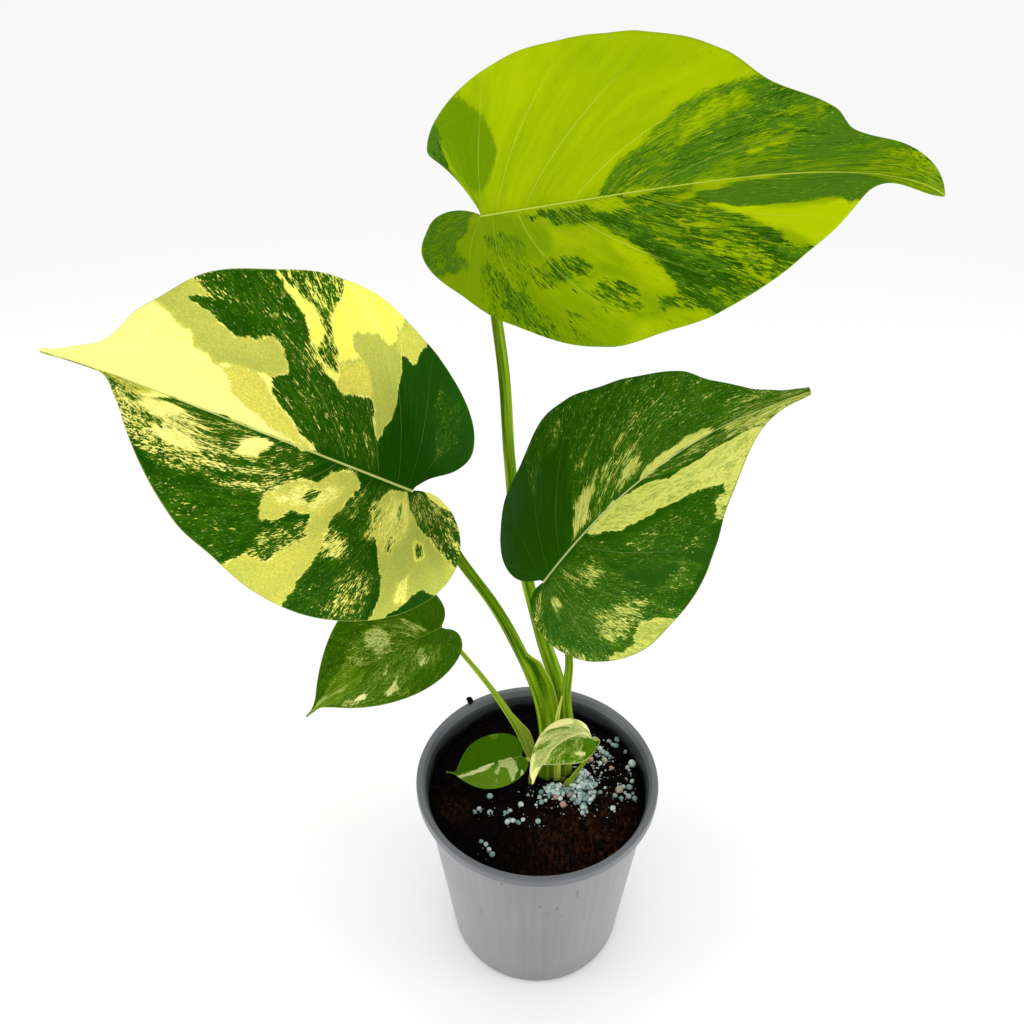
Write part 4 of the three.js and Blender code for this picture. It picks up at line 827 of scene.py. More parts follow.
def variegatedBlade(name, leaf, scale, veinPitch):
    # living aroid leaf with a waxy skin: a soft satin gloss over saturated colours. Two cell layers
    # each have or lack green, so the tissue is dark green, filmed green, sage or cream, in flecks
    # along the veins
    material, addNode = newMaterial(name)
    size = max(scale, 0.5)
    share = {key: addNode("Attribute", output="Fac", attribute_name=key) for key in (
        "greenShare", "sageShare", "creamShare", "ribAway", "rimAway", "veinFade", "under")}
    flow = addNode("Attribute", output="Vector", attribute_name="flow")
    acrossVeins = addNode("SeparateXYZ", {0: flow})
    noise = {}
    for i, (key, (across, along, octaves)) in enumerate(bladePattern.items()):
        cell = addNode("Mapping", {
            "Vector": flow, "Location": (7.3 * i, 3.1 * i, i),
            "Scale": (1 / (across * size), 1 / (along * size * leaf["stretch"]), 1)})
        noise[key] = addNode("TexNoise", {"Vector": cell, "Scale": 1.0, "Detail": octaves, "Roughness": 0.7})

    def near(mostGreen, inner, outer, most):
        # "most" where the green share is near the given one, falling to 0 away from it
        off = addNode("Math", {0: share["greenShare"], 1: mostGreen}, operation="SUBTRACT")
        off = addNode("Math", {0: off}, operation="ABSOLUTE")
        return addNode("MapRange", {0: off, 1: inner, 2: outer, 3: most, 4: 0.0})

    # the green share moves the threshold of the fleck noise, and a marbled share lets the second layer in
    fields = {}
    for key, clump, fine in (("green", "clump", "fleck"), ("sage", "layerClump", "layerFleck")):
        mixed = addNode("Mix", {0: bladeLook["clumpShare"], 2: noise[fine], 3: noise[clump]})
        low, high = bladeLook["spread"]
        fields[key] = addNode("MapRange", {0: mixed, 1: low, 2: high, 3: -0.5, 4: 0.5}, clamp=False)
    marble = near(*bladeLook["marbled"], 1.0)
    layer = addNode("Math", {0: marble, 1: leaf["layer"]}, operation="MULTIPLY")
    sageBase = addNode("Math", {0: share["sageShare"], 1: layer}, operation="MAXIMUM")
    sums, masks = {}, {}
    for key, base in (("green", share["greenShare"]), ("sage", sageBase)):
        sums[key] = addNode("Math", {0: fields[key], 1: base}, operation="ADD")
        low, high = bladeLook[key + "Edge"]
        masks[key] = addNode("MapRange", {0: sums[key], 1: low, 2: high}, interpolation_type="SMOOTHSTEP")
    edgeMost = addNode("Math", {0: marble, 1: leaf["edge"]}, operation="MULTIPLY")
    edge = addNode("MapRange", {0: sums["green"], 1: 0.2, 2: 0.47, 3: 0.0, 4: edgeMost})
    mottle = addNode("MapRange", {0: noise["layerClump"], 1: 0.38, 2: 0.64, 3: 0.0, 4: 0.4})
    depthMost = addNode("Math", {0: marble, 1: leaf["depth"], 2: mottle},
                        operation="MULTIPLY_ADD", use_clamp=True)
    shallow = addNode("MapRange", {0: sums["green"], 1: 0.53, 2: 1.6, 3: depthMost, 4: 0.0})
    # filmed green is green under the sage layer; on the top leaf it also paints grey-green sheen bands
    film = addNode("Math", {0: masks["sage"], 1: bladeLook["filmShare"]}, operation="MULTIPLY")

    # a fine net of minor veins shows in the sage tissue
    objectPlace = addNode("TexCoord", output="Object")
    cells = addNode("TexVoronoi", {
        "Vector": objectPlace, "Scale": 1000 / (bladeLook["netCell"] * size)},
        output="Distance", feature="DISTANCE_TO_EDGE")
    net = addNode("MapRange", {0: cells, 1: 0.0, 2: 0.13, 3: bladeLook["netShare"], 4: 0.0})
    tone = addNode("MapRange", {0: noise["tone"], 1: 0.35, 2: 0.65, 3: -0.18, 4: 0.18})
    creamTone = addNode("Math", {0: share["creamShare"], 1: tone}, operation="ADD", use_clamp=True)

    tint = {key: linear(leaf[key]) for key in leaf if str(leaf[key]).startswith("#")}
    pale, sage = (addNode("Mix", {0: creamTone, 6: tint[key], 7: tint[key + "Cream"]}, **inColour)
                  for key in ("pale", "sage"))
    sage = addNode("Mix", {0: net, 6: sage, 7: tint["sageNet"]}, **inColour)
    light = addNode("Mix", {0: masks["sage"], 6: pale, 7: sage}, **inColour)
    light = addNode("Mix", {0: edge, 6: light, 7: sage}, **inColour)
    green = addNode("Mix", {0: film, 6: tint["green"], 7: tint["film"]}, **inColour)
    green = addNode("Mix", {0: shallow, 6: green, 7: tint["greenLight"]}, **inColour)
    colour = addNode("Mix", {0: masks["green"], 6: light, 7: green}, **inColour)

    # muted specks lie in nearly solid green, and everything has a fine play of tone
    speckMost = near(*bladeLook["specked"], bladeLook["speckShare"])
    low, high = bladeLook["speck"]
    speck = addNode("MapRange", {0: noise["speck"], 1: low, 2: high, 3: 0.0, 4: speckMost})
    colour = addNode("Mix", {0: speck, 6: colour, 7: tint["speck"]}, **inColour)
    fineTone = addNode("MapRange", {0: noise["shade"], 1: 0.32, 2: 0.68, 3: 0.75, 4: 1.2})
    toneMost = addNode("Math", {0: marble, 1: 0.8, 2: 0.12}, operation="MULTIPLY_ADD")
    sageTone = addNode("Math", {0: masks["sage"], 1: 0.45}, operation="MULTIPLY")
    toneMost = addNode("Math", {0: toneMost, 1: sageTone}, operation="MAXIMUM")
    colour = addNode("Mix", {0: toneMost, 6: colour, 7: fineTone}, **inColour, blend_type="MULTIPLY")

    # side veins are thin lines at even steps across the flow, with finer ones between them
    shifted = addNode("Math", {0: acrossVeins, 1: veinPitch * 100}, operation="ADD")
    lines = []
    for steps, strength in ((1, 1.0), (bladeLook["fineVeins"], bladeLook["fineVeinShare"])):
        away = addNode("Math", {0: shifted, 1: veinPitch / steps / 2}, operation="PINGPONG")
        lines.append(addNode("MapRange", {
            0: away, 1: 0.0, 2: bladeLook["veinWidth"] * size, 3: strength * leaf["veins"], 4: 0.0},
            interpolation_type="SMOOTHSTEP"))
    vein = addNode("Math", {0: lines[0], 1: lines[1]}, operation="MAXIMUM")
    vein = addNode("Math", {0: vein, 1: share["veinFade"]}, operation="MULTIPLY")
    colour = addNode("Mix", {0: vein, 6: colour, 7: tint["rib"]}, **inColour)
    # the pale midrib, with painted shadow beside it and in its groove, and the pale margin
    for key, (low, high, most, lineTint) in bladeLook["lines"].items():
        away = share["rimAway" if key == "rim" else "ribAway"]
        line = addNode("MapRange", {0: away, 1: low, 2: high, 3: most, 4: 0.0})
        colour = addNode("Mix", {0: line, 6: colour, 7: tint[lineTint]}, **inColour)
    under = addNode("Math", {0: share["under"], 1: 0.35}, operation="MULTIPLY")
    colour = addNode("Mix", {0: under, 6: colour, 7: linear(bladeLook["underside"])}, **inColour)

    grain = addNode("TexNoise", {"Vector": objectPlace, "Scale": 1000 / bladeLook["grain"], "Detail": 2.0})
    smoothest, roughest = bladeLook["roughness"]
    roughness = addNode("MapRange", {0: grain, 1: 0.3, 2: 0.7, 3: smoothest, 4: roughest})
    height = addNode("Math", {0: grain, 1: 0.35, 2: vein}, operation="MULTIPLY_ADD")
    bump = addNode("Bump", {"Strength": 0.25, "Distance": 0.0002, "Height": height})
    shader = addNode("BsdfPrincipled", {
        "Base Color": colour, "Roughness": roughness, "Normal": bump, "IOR": 1.45,
        "Specular IOR Level": bladeLook["specular"]})
    addNode("OutputMaterial", {"Surface": shader})
    return material


bladeGrid = {
    "leaf_top": (240, 78), "leaf_left": (240, 80), "leaf_right": (210, 74), "leaf_low": (130, 50),
    "leaf_small_left": (90, 36), "leaf_small_front": (90, 36),
}
for name, leaf in leaves.items():
    makeBlade(name, leaf, *bladeGrid[name])
print("blades made")


# Paths, radii and wings are the part's own, the last two as pairs of (share of the path, millimetres).
# The wing is the sheath's flap on the +X side.
noWing = [(0, 0), (1, 0)]
stalks = {
    "stalk_top": {
        "leaf": "leaf_top",
        "path": [(12, 18, 101), (12, 19.5, 139.5), (1, 23, 182.5), (-9.5, 29.5, 230), (-13.5, 33.5, 270),
                 (-15.5, 35.5, 308), (-19.5, 36.5, 345.5)],
        "radius": [(0, 3.9), (0.15, 3.8), (0.4, 2.9), (0.7, 2.4), (1, 2)],
        "wing": noWing, "light": "#86a41c", "dark": "#416a00", "base": "#8fa024",
    },
    "stalk_left": {
        "leaf": "leaf_left",
        "path": [(5, 6, 101), (4.5, 7, 124.5), (1, 7.5, 154), (-9.5, 8.5, 186), (-20.5, 10.5, 209.5),
                 (-34, 17, 227), (-46.5, 19, 250)],
        "radius": [(0, 4.2), (0.2, 3.2), (0.45, 2.7), (0.7, 2.4), (1, 2)],
        "wing": [(0, 0.2), (0.1, 2.4), (0.2, 4.2), (0.33, 5), (0.4, 4.2), (0.45, 0), (1, 0)],
        "light": "#7c9e10", "dark": "#2c5200", "base": "#64820c",
    },
    "stalk_right": {
        "leaf": "leaf_right",
        "path": [(14, 8.5, 101), (14.5, 8.5, 115.5), (15, 8, 135), (13.5, 6.5, 159), (14, 3.5, 181),
                 (12, -1.5, 203), (6.5, -9, 226)],
        "radius": [(0, 3.7), (0.12, 3.4), (0.35, 2.2), (0.6, 1.8), (1, 1.7)],
        "wing": noWing, "light": "#7b9620", "dark": "#3c6200", "base": "#74901c",
    },
    "stalk_low": {
        "leaf": "leaf_low",
        "path": [(0.5, 12.6, 101), (-4, 13.5, 110), (-9, 14.5, 123.5), (-16.5, 14.5, 140.5),
                 (-23.5, 13.5, 155.5), (-30.5, 12, 169.5), (-38.5, 10.5, 184)],
        "radius": [(0, 2.9), (0.15, 2.2), (0.35, 1.8), (0.6, 1.3), (1, 1)],
        "wing": [(0, 0), (0.08, 1.6), (0.22, 2.6), (0.32, 1), (0.36, 0), (1, 0)],
        "light": "#aabe38", "dark": "#58800a", "base": "#b0bc4c",
    },
    "stalk_small_left": {
        "leaf": "leaf_small_left",
        "path": [(-2.5, 1.5, 90), (-2.5, 1.5, 97), (-2.5, 1.4, 104), (-1.8, 0.5, 112), (-2.5, -0.9, 118.5),
                 (-4.6, -2.8, 123)],
        "radius": [(0, 1.8), (0.4, 1.6), (1, 0.9)],
        "wing": noWing, "light": "#a9b45c", "dark": "#718c20", "base": "#c4b888",
    },
    "stalk_small_front": {
        "leaf": "leaf_small_front",
        "path": [(14.8, 0.6, 90), (14.8, 0.6, 97), (16, -0.4, 103.5), (18, -2, 110), (20.5, -4, 118),
                 (22.5, -6, 125), (24, -7.7, 132.5), (24.2, -9.3, 140)],
        "radius": [(0, 2.3), (0.2, 2.2), (0.3, 1.3), (0.6, 0.95), (1, 0.8)],
        "wing": noWing, "light": "#9aaa34", "dark": "#6c8c10", "base": "#a8aa40",
    },
}
sheathTip = {
    "path": [(10.2, 2.7, 101), (10, 2.4, 124), (9.4, 2.3, 146), (11.2, 2.3, 161)],
    "radius": [(0, 1.7), (0.5, 1.3), (0.75, 1), (1, 0.4)],
    "wing": noWing, "flatten": 0.5,
    "light": "#c4d05c", "dark": "#8ca824", "base": "#8b9e20",
}
stalkLook = {
    "speck": "#b4c05a", "dryEdge": "#b4c060", "roughness": 0.4,
    "stripe": (1.5, 45),   # millimetres across and along
    "ridges": ((0.03, 9, 0), (0.02, 14, 1)),  # height as a share of the radius, number, phase
    "girth": 3.0,          # the radius at which the stripes are drawn
    "footReach": 36.0, "bladeOver": (1, 0.8),  # thickness of a large and a small blade where one ends
    "flapThin": 0.72, "channel": (0.1, 1.75 * math.pi, 0.3),  # depth, angle and width of the channel
}


def smoothLine(points, perSpan=24):
    # a centripetal spline through the points: tangents weighted by the square roots of the spans
    p = np.array(points, float)
    p = np.vstack([2 * p[0] - p[1], p, 2 * p[-1] - p[-2]])
    t = np.linspace(0, 1, perSpan, endpoint=False)[:, None]
    line = []
    for i in range(1, len(p) - 2):
        a, b, c = (math.sqrt(np.linalg.norm(p[i + k] - p[i + k - 1])) for k in (0, 1, 2))
        before = ((p[i] - p[i - 1]) / a - (p[i + 1] - p[i - 1]) / (a + b) + (p[i + 1] - p[i]) / b) * b
        after = ((p[i + 1] - p[i]) / b - (p[i + 2] - p[i]) / (b + c) + (p[i + 2] - p[i + 1]) / c) * b
        line.append((2 * t ** 3 - 3 * t ** 2 + 1) * p[i] + (t ** 3 - 2 * t ** 2 + t) * before
                    + (3 * t ** 2 - 2 * t ** 3) * p[i + 1] + (t ** 3 - t ** 2) * after)
    return np.vstack(line + [p[-2][None]])


def stemSurface(points, spec, rings=150, sides=40):
    # rings along a spline: each is an ellipse with shallow grooves and a flap on its +X side, and a
    # dome closes the top
    line = smoothLine(points)
    walked = np.concatenate([[0], np.cumsum(np.linalg.norm(np.diff(line, axis=0), axis=1))])
    length = walked[-1]
    share = np.linspace(0, 1, rings)
    centre = np.stack([np.interp(share * length, walked, line[:, i]) for i in range(3)], -1)
    tangent = np.gradient(centre, axis=0)
    tangent /= np.linalg.norm(tangent, axis=-1, keepdims=True)
    dome = np.linspace(0, 1, 9)[1:] * np.pi / 2 * 0.98
    tip = spec["radius"][-1][1]
    radius = np.concatenate([eased(spec["radius"], share), tip * np.cos(dome)])
    wing = np.concatenate([eased(spec["wing"], share), 0 * dome])
    centre = np.vstack([centre, centre[-1] + tangent[-1] * (tip * np.sin(dome))[:, None]])
    tangent = np.vstack([tangent, np.repeat(tangent[-1:], len(dome), axis=0)])
    sideways = -np.cross(tangent, (0, 1, 0))
    sideways /= np.linalg.norm(sideways, axis=-1, keepdims=True)
    rear = np.cross(tangent, sideways)
    angle = np.arange(sides) / sides * 2 * np.pi
    toRight = np.maximum(0, np.cos(angle))
    thin = stalkLook["flapThin"] * toRight * np.minimum(1, wing[:, None] / 2)
    flap = np.where(wing[:, None] > 0, 1 - thin, 1)
    ridges = 1 + sum(high * np.cos(count * angle + phase) for high, count, phase in stalkLook["ridges"])
    depth, place, wide = stalkLook["channel"]
    channel = 1 - depth * np.exp(-((angle - place) / wide) ** 2)
    outX = radius[:, None] * np.cos(angle) * ridges * channel + wing[:, None] * toRight ** 1.5
    outY = spec.get("flatten", 0.92) * radius[:, None] * np.sin(angle) * flap * ridges * channel
    surface = centre[:, None] + sideways[:, None] * outX[..., None] + rear[:, None] * outY[..., None]
    along = np.concatenate([share * length, length + tip * np.sin(dome)])
    return surface, angle, along, wing, length


def makeStem(name, points, spec, slot):
    # the closed stem, with what its material follows: the way round and along it, and the flap's edge
    surface, angle, along, wing, length = stemSurface(points, spec)
    girth, along = stalkLook["girth"], along[:, None]
    flow = np.stack(np.broadcast_arrays(np.cos(angle) * girth, np.sin(angle) * girth, along), -1)
    edge = (np.cos(angle) > 0.97) * smooth(0.6, 1.6, wing)[:, None]
    height = np.broadcast_to(along, surface.shape[:2])
    values = {
        "flow": np.vstack([flow.reshape(-1, 3), [0, 0, 0], [0, 0, along[-1, 0]]]),
        "sheathEdge": np.concatenate([edge.ravel(), [0, 0]]),
        "climbed": np.concatenate([height.ravel(), [0, along[-1, 0]]]),
    }
    fixNormals(makeShell(name + "_stem", surface, surface[0].mean(axis=0), surface[-1].mean(axis=0),
                         waxyStalk("waxyStalk_" + name, spec, length), slot, [name], values))


def waxyStalk(name, spec, length):
    # fleshy green petiole with a thin wax bloom: satin, striped lengthwise, yellower where it leaves the
    # crown, with a dry pale edge on the sheath
    material, addNode = newMaterial(name)
    flow = addNode("Attribute", output="Vector", attribute_name="flow")
    climbed = addNode("Attribute", output="Fac", attribute_name="climbed")
    edge = addNode("Attribute", output="Fac", attribute_name="sheathEdge")
    across, lengthwise = (1 / size for size in stalkLook["stripe"])
    place = addNode("Mapping", {"Vector": flow, "Scale": (across, across, lengthwise)})
    stripe = addNode("TexNoise", {"Vector": place, "Scale": 1.0, "Detail": 3.0, "Roughness": 0.55})
    stripeShare = addNode("MapRange", {0: stripe, 1: 0.38, 2: 0.66})
    reach = min(stalkLook["footReach"], length * 0.3)
    foot = addNode("MapRange", {0: climbed, 1: 0.0, 2: reach, 3: 0.6, 4: 0.0})
    specks = addNode("TexNoise", {"Vector": flow, "Scale": 0.9, "Detail": 2.0})
    speckShare = addNode("MapRange", {0: specks, 1: 0.62, 2: 0.7, 3: 0.0, 4: 0.15})
    colour = linear(spec["dark"])
    for part, tint in ((stripeShare, spec["light"]), (speckShare, stalkLook["speck"]), (foot, spec["base"]),
                       (edge, stalkLook["dryEdge"])):
        colour = addNode("Mix", {0: part, 6: colour, 7: linear(tint)}, **inColour)
    bump = addNode("Bump", {"Strength": 0.2, "Distance": 0.0003, "Height": stripe})
    shader = addNode("BsdfPrincipled", {
        "Base Color": colour, "Roughness": stalkLook["roughness"], "IOR": 1.45, "Specular IOR Level": 0.02,
        "Normal": bump})
    addNode("OutputMaterial", {"Surface": shader})
    return material


def seatUnder(leaf, radius):
    # a stalk's end lies just under its blade's keel
    ahead, _, up = leafAxes(leaf)
    large, small = stalkLook["bladeOver"]
    thick = large if leaf["length"] > bladeShape["smallUnder"] else small
    return np.array(leaf["at"]) + ahead - up * (thick / 2 + leaf["keel"] + radius)


for name, spec in stalks.items():
    seat = seatUnder(leaves[spec["leaf"]], spec["radius"][-1][1])
    makeStem(name, spec["path"] + [tuple(seat)], spec, "stalk")
makeStem("sheath_tip", sheathTip["path"], sheathTip, "sheath")
print("stalks made")


pot = {
    "height": 110, "rimRadius": 60, "lipWidth": 2.6, "collarHeight": 4.5, "shoulderRadius": 56.2,
    "footRadius": 45.7, "wall": 1.3, "floor": 1.6, "footRounding": 2.2, "edgeRounding": 0.8,
    "drainHoles": 8, "drainRadius": 3.4, "drainCircle": 31, "segments": 192, "ringStep": 6,
    "plastic": ("#7c7b7c", "#878586"), "cloud": "#79797b", "collar": "#65676b", "roughness": 0.42,
    # the two inside greys are painted shade on the inner wall, darker downwards; the near-black after them
    # covers the inside below a ragged line just over the peat
    "inside": ("#242528", "#414347"), "nearBlackBand": "#080605", "dust": "#6a635a", "scuff": "#3c3c40",
    "tideAt": (109.2, 110.4), "tideRagged": (14, 4), "insideShadeFade": (98, 109),  # millimetres
    "cloudSize": 28, "grimeSize": 3, "dragScale": (18, 10, 1), "lipInside": 4.4,
    "scuffs": [  # angle from the front, height, half width and half height
        (21, 88, 0.9, 4.2), (2, 81, 0.9, 0.9), (11, 78, 0.8, 1.2), (6, 74, 0.7, 0.7), (14, 69, 0.7, 0.6),
        (-16, 97, 0.6, 1.2), (17, 57, 0.8, 0.6), (-30, 62, 0.7, 2.2), (140, 80, 0.8, 3), (-95, 45, 0.7, 1.5),
        (95, 90, 1, 1),
    ],
}
pot["shoulder"] = pot["height"] - pot["collarHeight"]  # where the wall ends under the collar


def outerRadius(height):
    # the wall widens evenly from the foot to the shoulder
    return pot["footRadius"] + (pot["shoulderRadius"] - pot["footRadius"]) * height / pot["shoulder"]


def innerRadius(height):
    return outerRadius(height) - pot["wall"]


def makePot():
    # one profile from the middle of the underside, up the wall, over the collar and down to the floor
    height, rim, under, edge = pot["height"], pot["rimRadius"], pot["shoulder"], pot["edgeRounding"]
    profile = roundedProfile([
        (0, 0, 0), (pot["footRadius"] - 0.3, 0, pot["footRounding"]), (pot["shoulderRadius"], under, 0.7),
        (rim, under, edge), (rim, height, edge), (rim - pot["lipWidth"] - 0.4, height, edge),
        (innerRadius(under), under - edge, 0.8), (innerRadius(pot["floor"]), pot["floor"], 1.2),
        (0, pot["floor"], 0),
    ])
    fine = [profile[:1]]
    for a, b in zip(profile, profile[1:]):
        pieces = max(1, int(np.linalg.norm(b - a) // pot["ringStep"]))
        fine.append(a + (b - a) * (np.arange(1, pieces + 1) / pieces)[:, None])
    rings = latheRings(np.vstack(fine)[1:-1], pot["segments"])
    piece = makeShell("nursery_pot", rings, [0, 0, 0], [0, 0, pot["floor"]],
                      mouldedPolypropylene("mouldedPolypropylene"), "pot_plastic", ["pot"])
    cutDrains(piece)
    fixNormals(piece)


def cutDrains(piece):
    # drain holes: upright cylinders taken out of the floor
    for i in range(pot["drainHoles"]):
        turn = (i + 0.5) / pot["drainHoles"] * 2 * math.pi
        away, height = pot["drainCircle"], pot["floor"] / 2
        place = Vector((away * math.cos(turn), away * math.sin(turn), height)) * mm
        bpy.ops.mesh.primitive_cylinder_add(
            vertices=40, radius=pot["drainRadius"] * mm, depth=6 * mm, location=place)
        cutter = bpy.context.object
        cut = piece.modifiers.new("drain", "BOOLEAN")
        cut.operation, cut.solver, cut.object = "DIFFERENCE", "EXACT", cutter
        bpy.context.view_layer.update()
        shown = piece.evaluated_get(bpy.context.evaluated_depsgraph_get())
        mesh = bpy.data.meshes.new_from_object(shown)
        piece.modifiers.clear()
        piece.data = mesh
        bpy.data.objects.remove(cutter)


def mouldedPolypropylene(name):
    # injection-moulded polypropylene: a cool mid-grey with a soft sheen and faint drag marks down the
    # wall, dark scuffs and soil dust on the foot. The inside is painted shade, a dark grey that darkens
    # downwards, and below a ragged line just over the peat it is near black
    material, addNode = newMaterial(name)
    objectPlace = addNode("TexCoord", output="Object")
    x, y, height = addNode("SeparateXYZ", {0: objectPlace}).node.outputs
    turn = addNode("Math", {0: x, 1: y}, operation="ARCTAN2")
    wrapped = addNode("CombineXYZ", {0: turn, 1: height})
    place = addNode("Mapping", {"Vector": wrapped, "Scale": pot["dragScale"]})
    drag = addNode("TexNoise", {"Vector": place, "Scale": 1.0, "Detail": 4.0})
    cloud, grime = (addNode("TexNoise", {
        "Vector": objectPlace, "Scale": 1000 / pot[key], "Detail": octaves})
        for key, octaves in (("cloudSize", 4.0), ("grimeSize", 3.0)))

    # the inside is what lies nearer to the axis than the middle of the wall, or than the lip's inner edge
    under = pot["shoulder"] * mm
    level = addNode("CombineXYZ", {0: x, 1: y})
    radius = addNode("VectorMath", {0: level}, output="Value", operation="LENGTH")
    low, high = ((pot[key] - pot["wall"] / 2) * mm for key in ("footRadius", "shoulderRadius"))
    wallRadius = addNode("MapRange", {0: height, 1: 0.0, 2: under, 3: low, 4: high}, clamp=False)
    lip = (pot["rimRadius"] - pot["lipInside"]) * mm
    throat = addNode("MapRange", {0: height, 1: under - 0.0001, 2: under + 0.0001, 3: 0.0, 4: lip})
    wallRadius = addNode("Math", {0: wallRadius, 1: throat}, operation="MAXIMUM")
    inner = addNode("Math", {0: radius, 1: wallRadius}, operation="LESS_THAN")
    # painted shade: the inner wall and the lip's inner slope are dark grey, darker downwards
    low, high = (c * mm for c in pot["insideShadeFade"])
    depth = addNode("MapRange", {0: height, 1: low, 2: high})
    dark, pale = (linear(c) for c in pot["inside"])
    inside = addNode("Mix", {0: depth, 6: dark, 7: pale}, **inColour)

    # near black below a ragged line just over the peat
    tide = height
    for source, reach in zip((cloud, grime), pot["tideRagged"]):
        tide = addNode("Math", {0: source, 1: reach * mm, 2: tide}, operation="MULTIPLY_ADD")
    low, high = (c * mm for c in pot["tideAt"])
    tide = addNode("MapRange", {0: tide, 1: low, 2: high, 3: 1.0, 4: 0.0})
    tide = addNode("Math", {0: tide, 1: inner}, operation="MULTIPLY")
    dust = addNode("MapRange", {0: height, 1: 0.0, 2: 0.02, 3: 0.35, 4: 0.0})
    dust = addNode("Math", {0: dust, 1: grime}, operation="MULTIPLY")
    mark = None
    for degrees, up, halfWidth, halfHeight in pot["scuffs"]:
        angle, wall = math.radians(degrees), outerRadius(up)
        at = Vector((wall * math.sin(angle), -wall * math.cos(angle), up)) * mm
        spot = addNode("VectorMath", {0: objectPlace, 1: at}, operation="SUBTRACT")
        spot = addNode("VectorMath", {
            0: spot, 1: (1000 / halfWidth, 1000 / halfWidth, 1000 / halfHeight)}, operation="MULTIPLY")
        away = addNode("VectorMath", {0: spot}, output="Value", operation="LENGTH")
        away = addNode("Math", {0: grime, 1: 1.6, 2: away}, operation="MULTIPLY_ADD")
        spot = addNode("MapRange", {0: away, 1: 1.2, 2: 2.1, 3: 0.55, 4: 0.0})
        mark = addNode("Math", {0: spot, 1: mark}, operation="MAXIMUM") if mark else spot

    collar = addNode("MapRange", {0: height, 1: under - 0.0006, 2: under + 0.0001},
                     interpolation_type="SMOOTHSTEP")
    dragShare = addNode("MapRange", {0: drag, 1: 0.3, 2: 0.7})
    cloudShare = addNode("MapRange", {0: cloud, 1: 0.35, 2: 0.65, 4: 0.6})
    colour, dragged = (linear(c) for c in pot["plastic"])
    tint = {key: linear(pot[key]) for key in ("cloud", "collar", "scuff", "dust", "nearBlackBand")}
    for part, other in ((dragShare, dragged), (cloudShare, tint["cloud"]), (collar, tint["collar"]),
                        (inner, inside), (mark, tint["scuff"]), (dust, tint["dust"]),
                        (tide, tint["nearBlackBand"])):
        colour = addNode("Mix", {0: part, 6: colour, 7: other}, **inColour)
    bump = addNode("Bump", {"Strength": 0.08, "Distance": 0.0002, "Height": drag})
    shader = addNode("BsdfPrincipled", {
        "Base Color": colour, "Roughness": pot["roughness"], "IOR": 1.49, "Normal": bump})
    addNode("OutputMaterial", {"Surface": shader})
    return material


makePot()
print("pot made")


peat = {
    "level": 99.5, "heap": 1.8, "edgeDip": 2.2, "lump": 0.8, "rings": 110, "segments": 220,
    "gap": 0.3, "sunk": 0.3,  # to the pot, and of the crumbled surface under the part's smooth one
    "relief": ((0.9, 9, 40), (0.8, 3.6, 41), (0.45, 1.5, 42)),  # crumbs in the surface: height, size, seed
    "crumbs": 900, "crumbReach": 52.5, "crumbSize": (0.5, 1.3),
    "rimCrumb": [(-36.8, 46.2, 111.5, 1.75), (-37.6, 46.9, 112.2, 1.4)],  # two fused lumps: place and radius
    "fibres": 260, "fibreReach": 50, "fibreLimit": 48, "fibreLength": (2, 4), "fibreRadius": (0.09, 0.1),
    "fibreFront": ((20, -32), (17, 9), 0.6),  # middle, spread and share of those in the dried patch
    "dry": [  # x, y, core, reach and most
        (24, -34, 10, 40, 0.85), (-40, -15, 2, 11, 0.7), (47, -22, 3, 13, 0.7)],
    "fibreCell": (1.6, 4.5, 3), "crumbCell": 2.2, "grain": 0.7,  # patterns in the materials
    # damp and the dark ends of crumb and fibre are near black: the peat's own dark brown deepened by painted
    # shade
    "dampAndShade": ("#010000", "#0b0503"), "dried": "#4e2813", "crumb": ("#040202", "#4c2c18"),
    "rimCrumbColours": ("#050403", "#1b120d"), "fibre": ("#060302", "#66391f"),
}
aboutTurn = 6.28  # radians, for scattered bits


def peatHeight(x, y):
    # a low heap that dips at the wall, with the part's soft lumps
    share = np.minimum(1, np.hypot(x, y) / innerRadius(peat["level"]))
    heap = peat["heap"] * np.cos(share * np.pi / 2) - peat["edgeDip"] * share ** 6
    broad = np.sin(0.31 * x + 1.3) * np.sin(0.27 * y + 0.4)
    fine = np.sin(0.71 * x + 0.2) * np.sin(0.63 * y + 2)
    return peat["level"] + heap + peat["lump"] * (0.6 * broad + 0.4 * fine)


def crumbledHeight(x, y):
    # the same a little lower, with crumbs: three sizes of noise added together
    flatPlace = np.stack(np.broadcast_arrays(x, y, np.zeros_like(x)), -1)
    relief = sum(rise * lumps(flatPlace, size, seed) for rise, size, seed in peat["relief"])
    return peatHeight(x, y) + relief - peat["sunk"]


def makePeat():
    # a disc of rings with the crumbled height, and one ring more at the pot's floor
    radius = np.arange(1, peat["rings"] + 1) / peat["rings"] * (
        innerRadius(peat["level"] - peat["edgeDip"]) - peat["gap"])
    top = latheRings(np.column_stack([radius, radius]), peat["segments"])
    top[..., 2] = crumbledHeight(top[..., 0], top[..., 1])
    under = pot["floor"] + peat["gap"]
    foot = latheRings(np.array([[innerRadius(under) - peat["gap"], under]]), peat["segments"])
    middle = crumbledHeight(np.zeros(1), np.zeros(1))[0]
    fixNormals(makeShell("peat_block", np.concatenate([top, foot]), [0, 0, middle], [0, 0, under],
                         moistAndShadedPeat("moistAndShadedPeat"), "peat", ["peat"]))


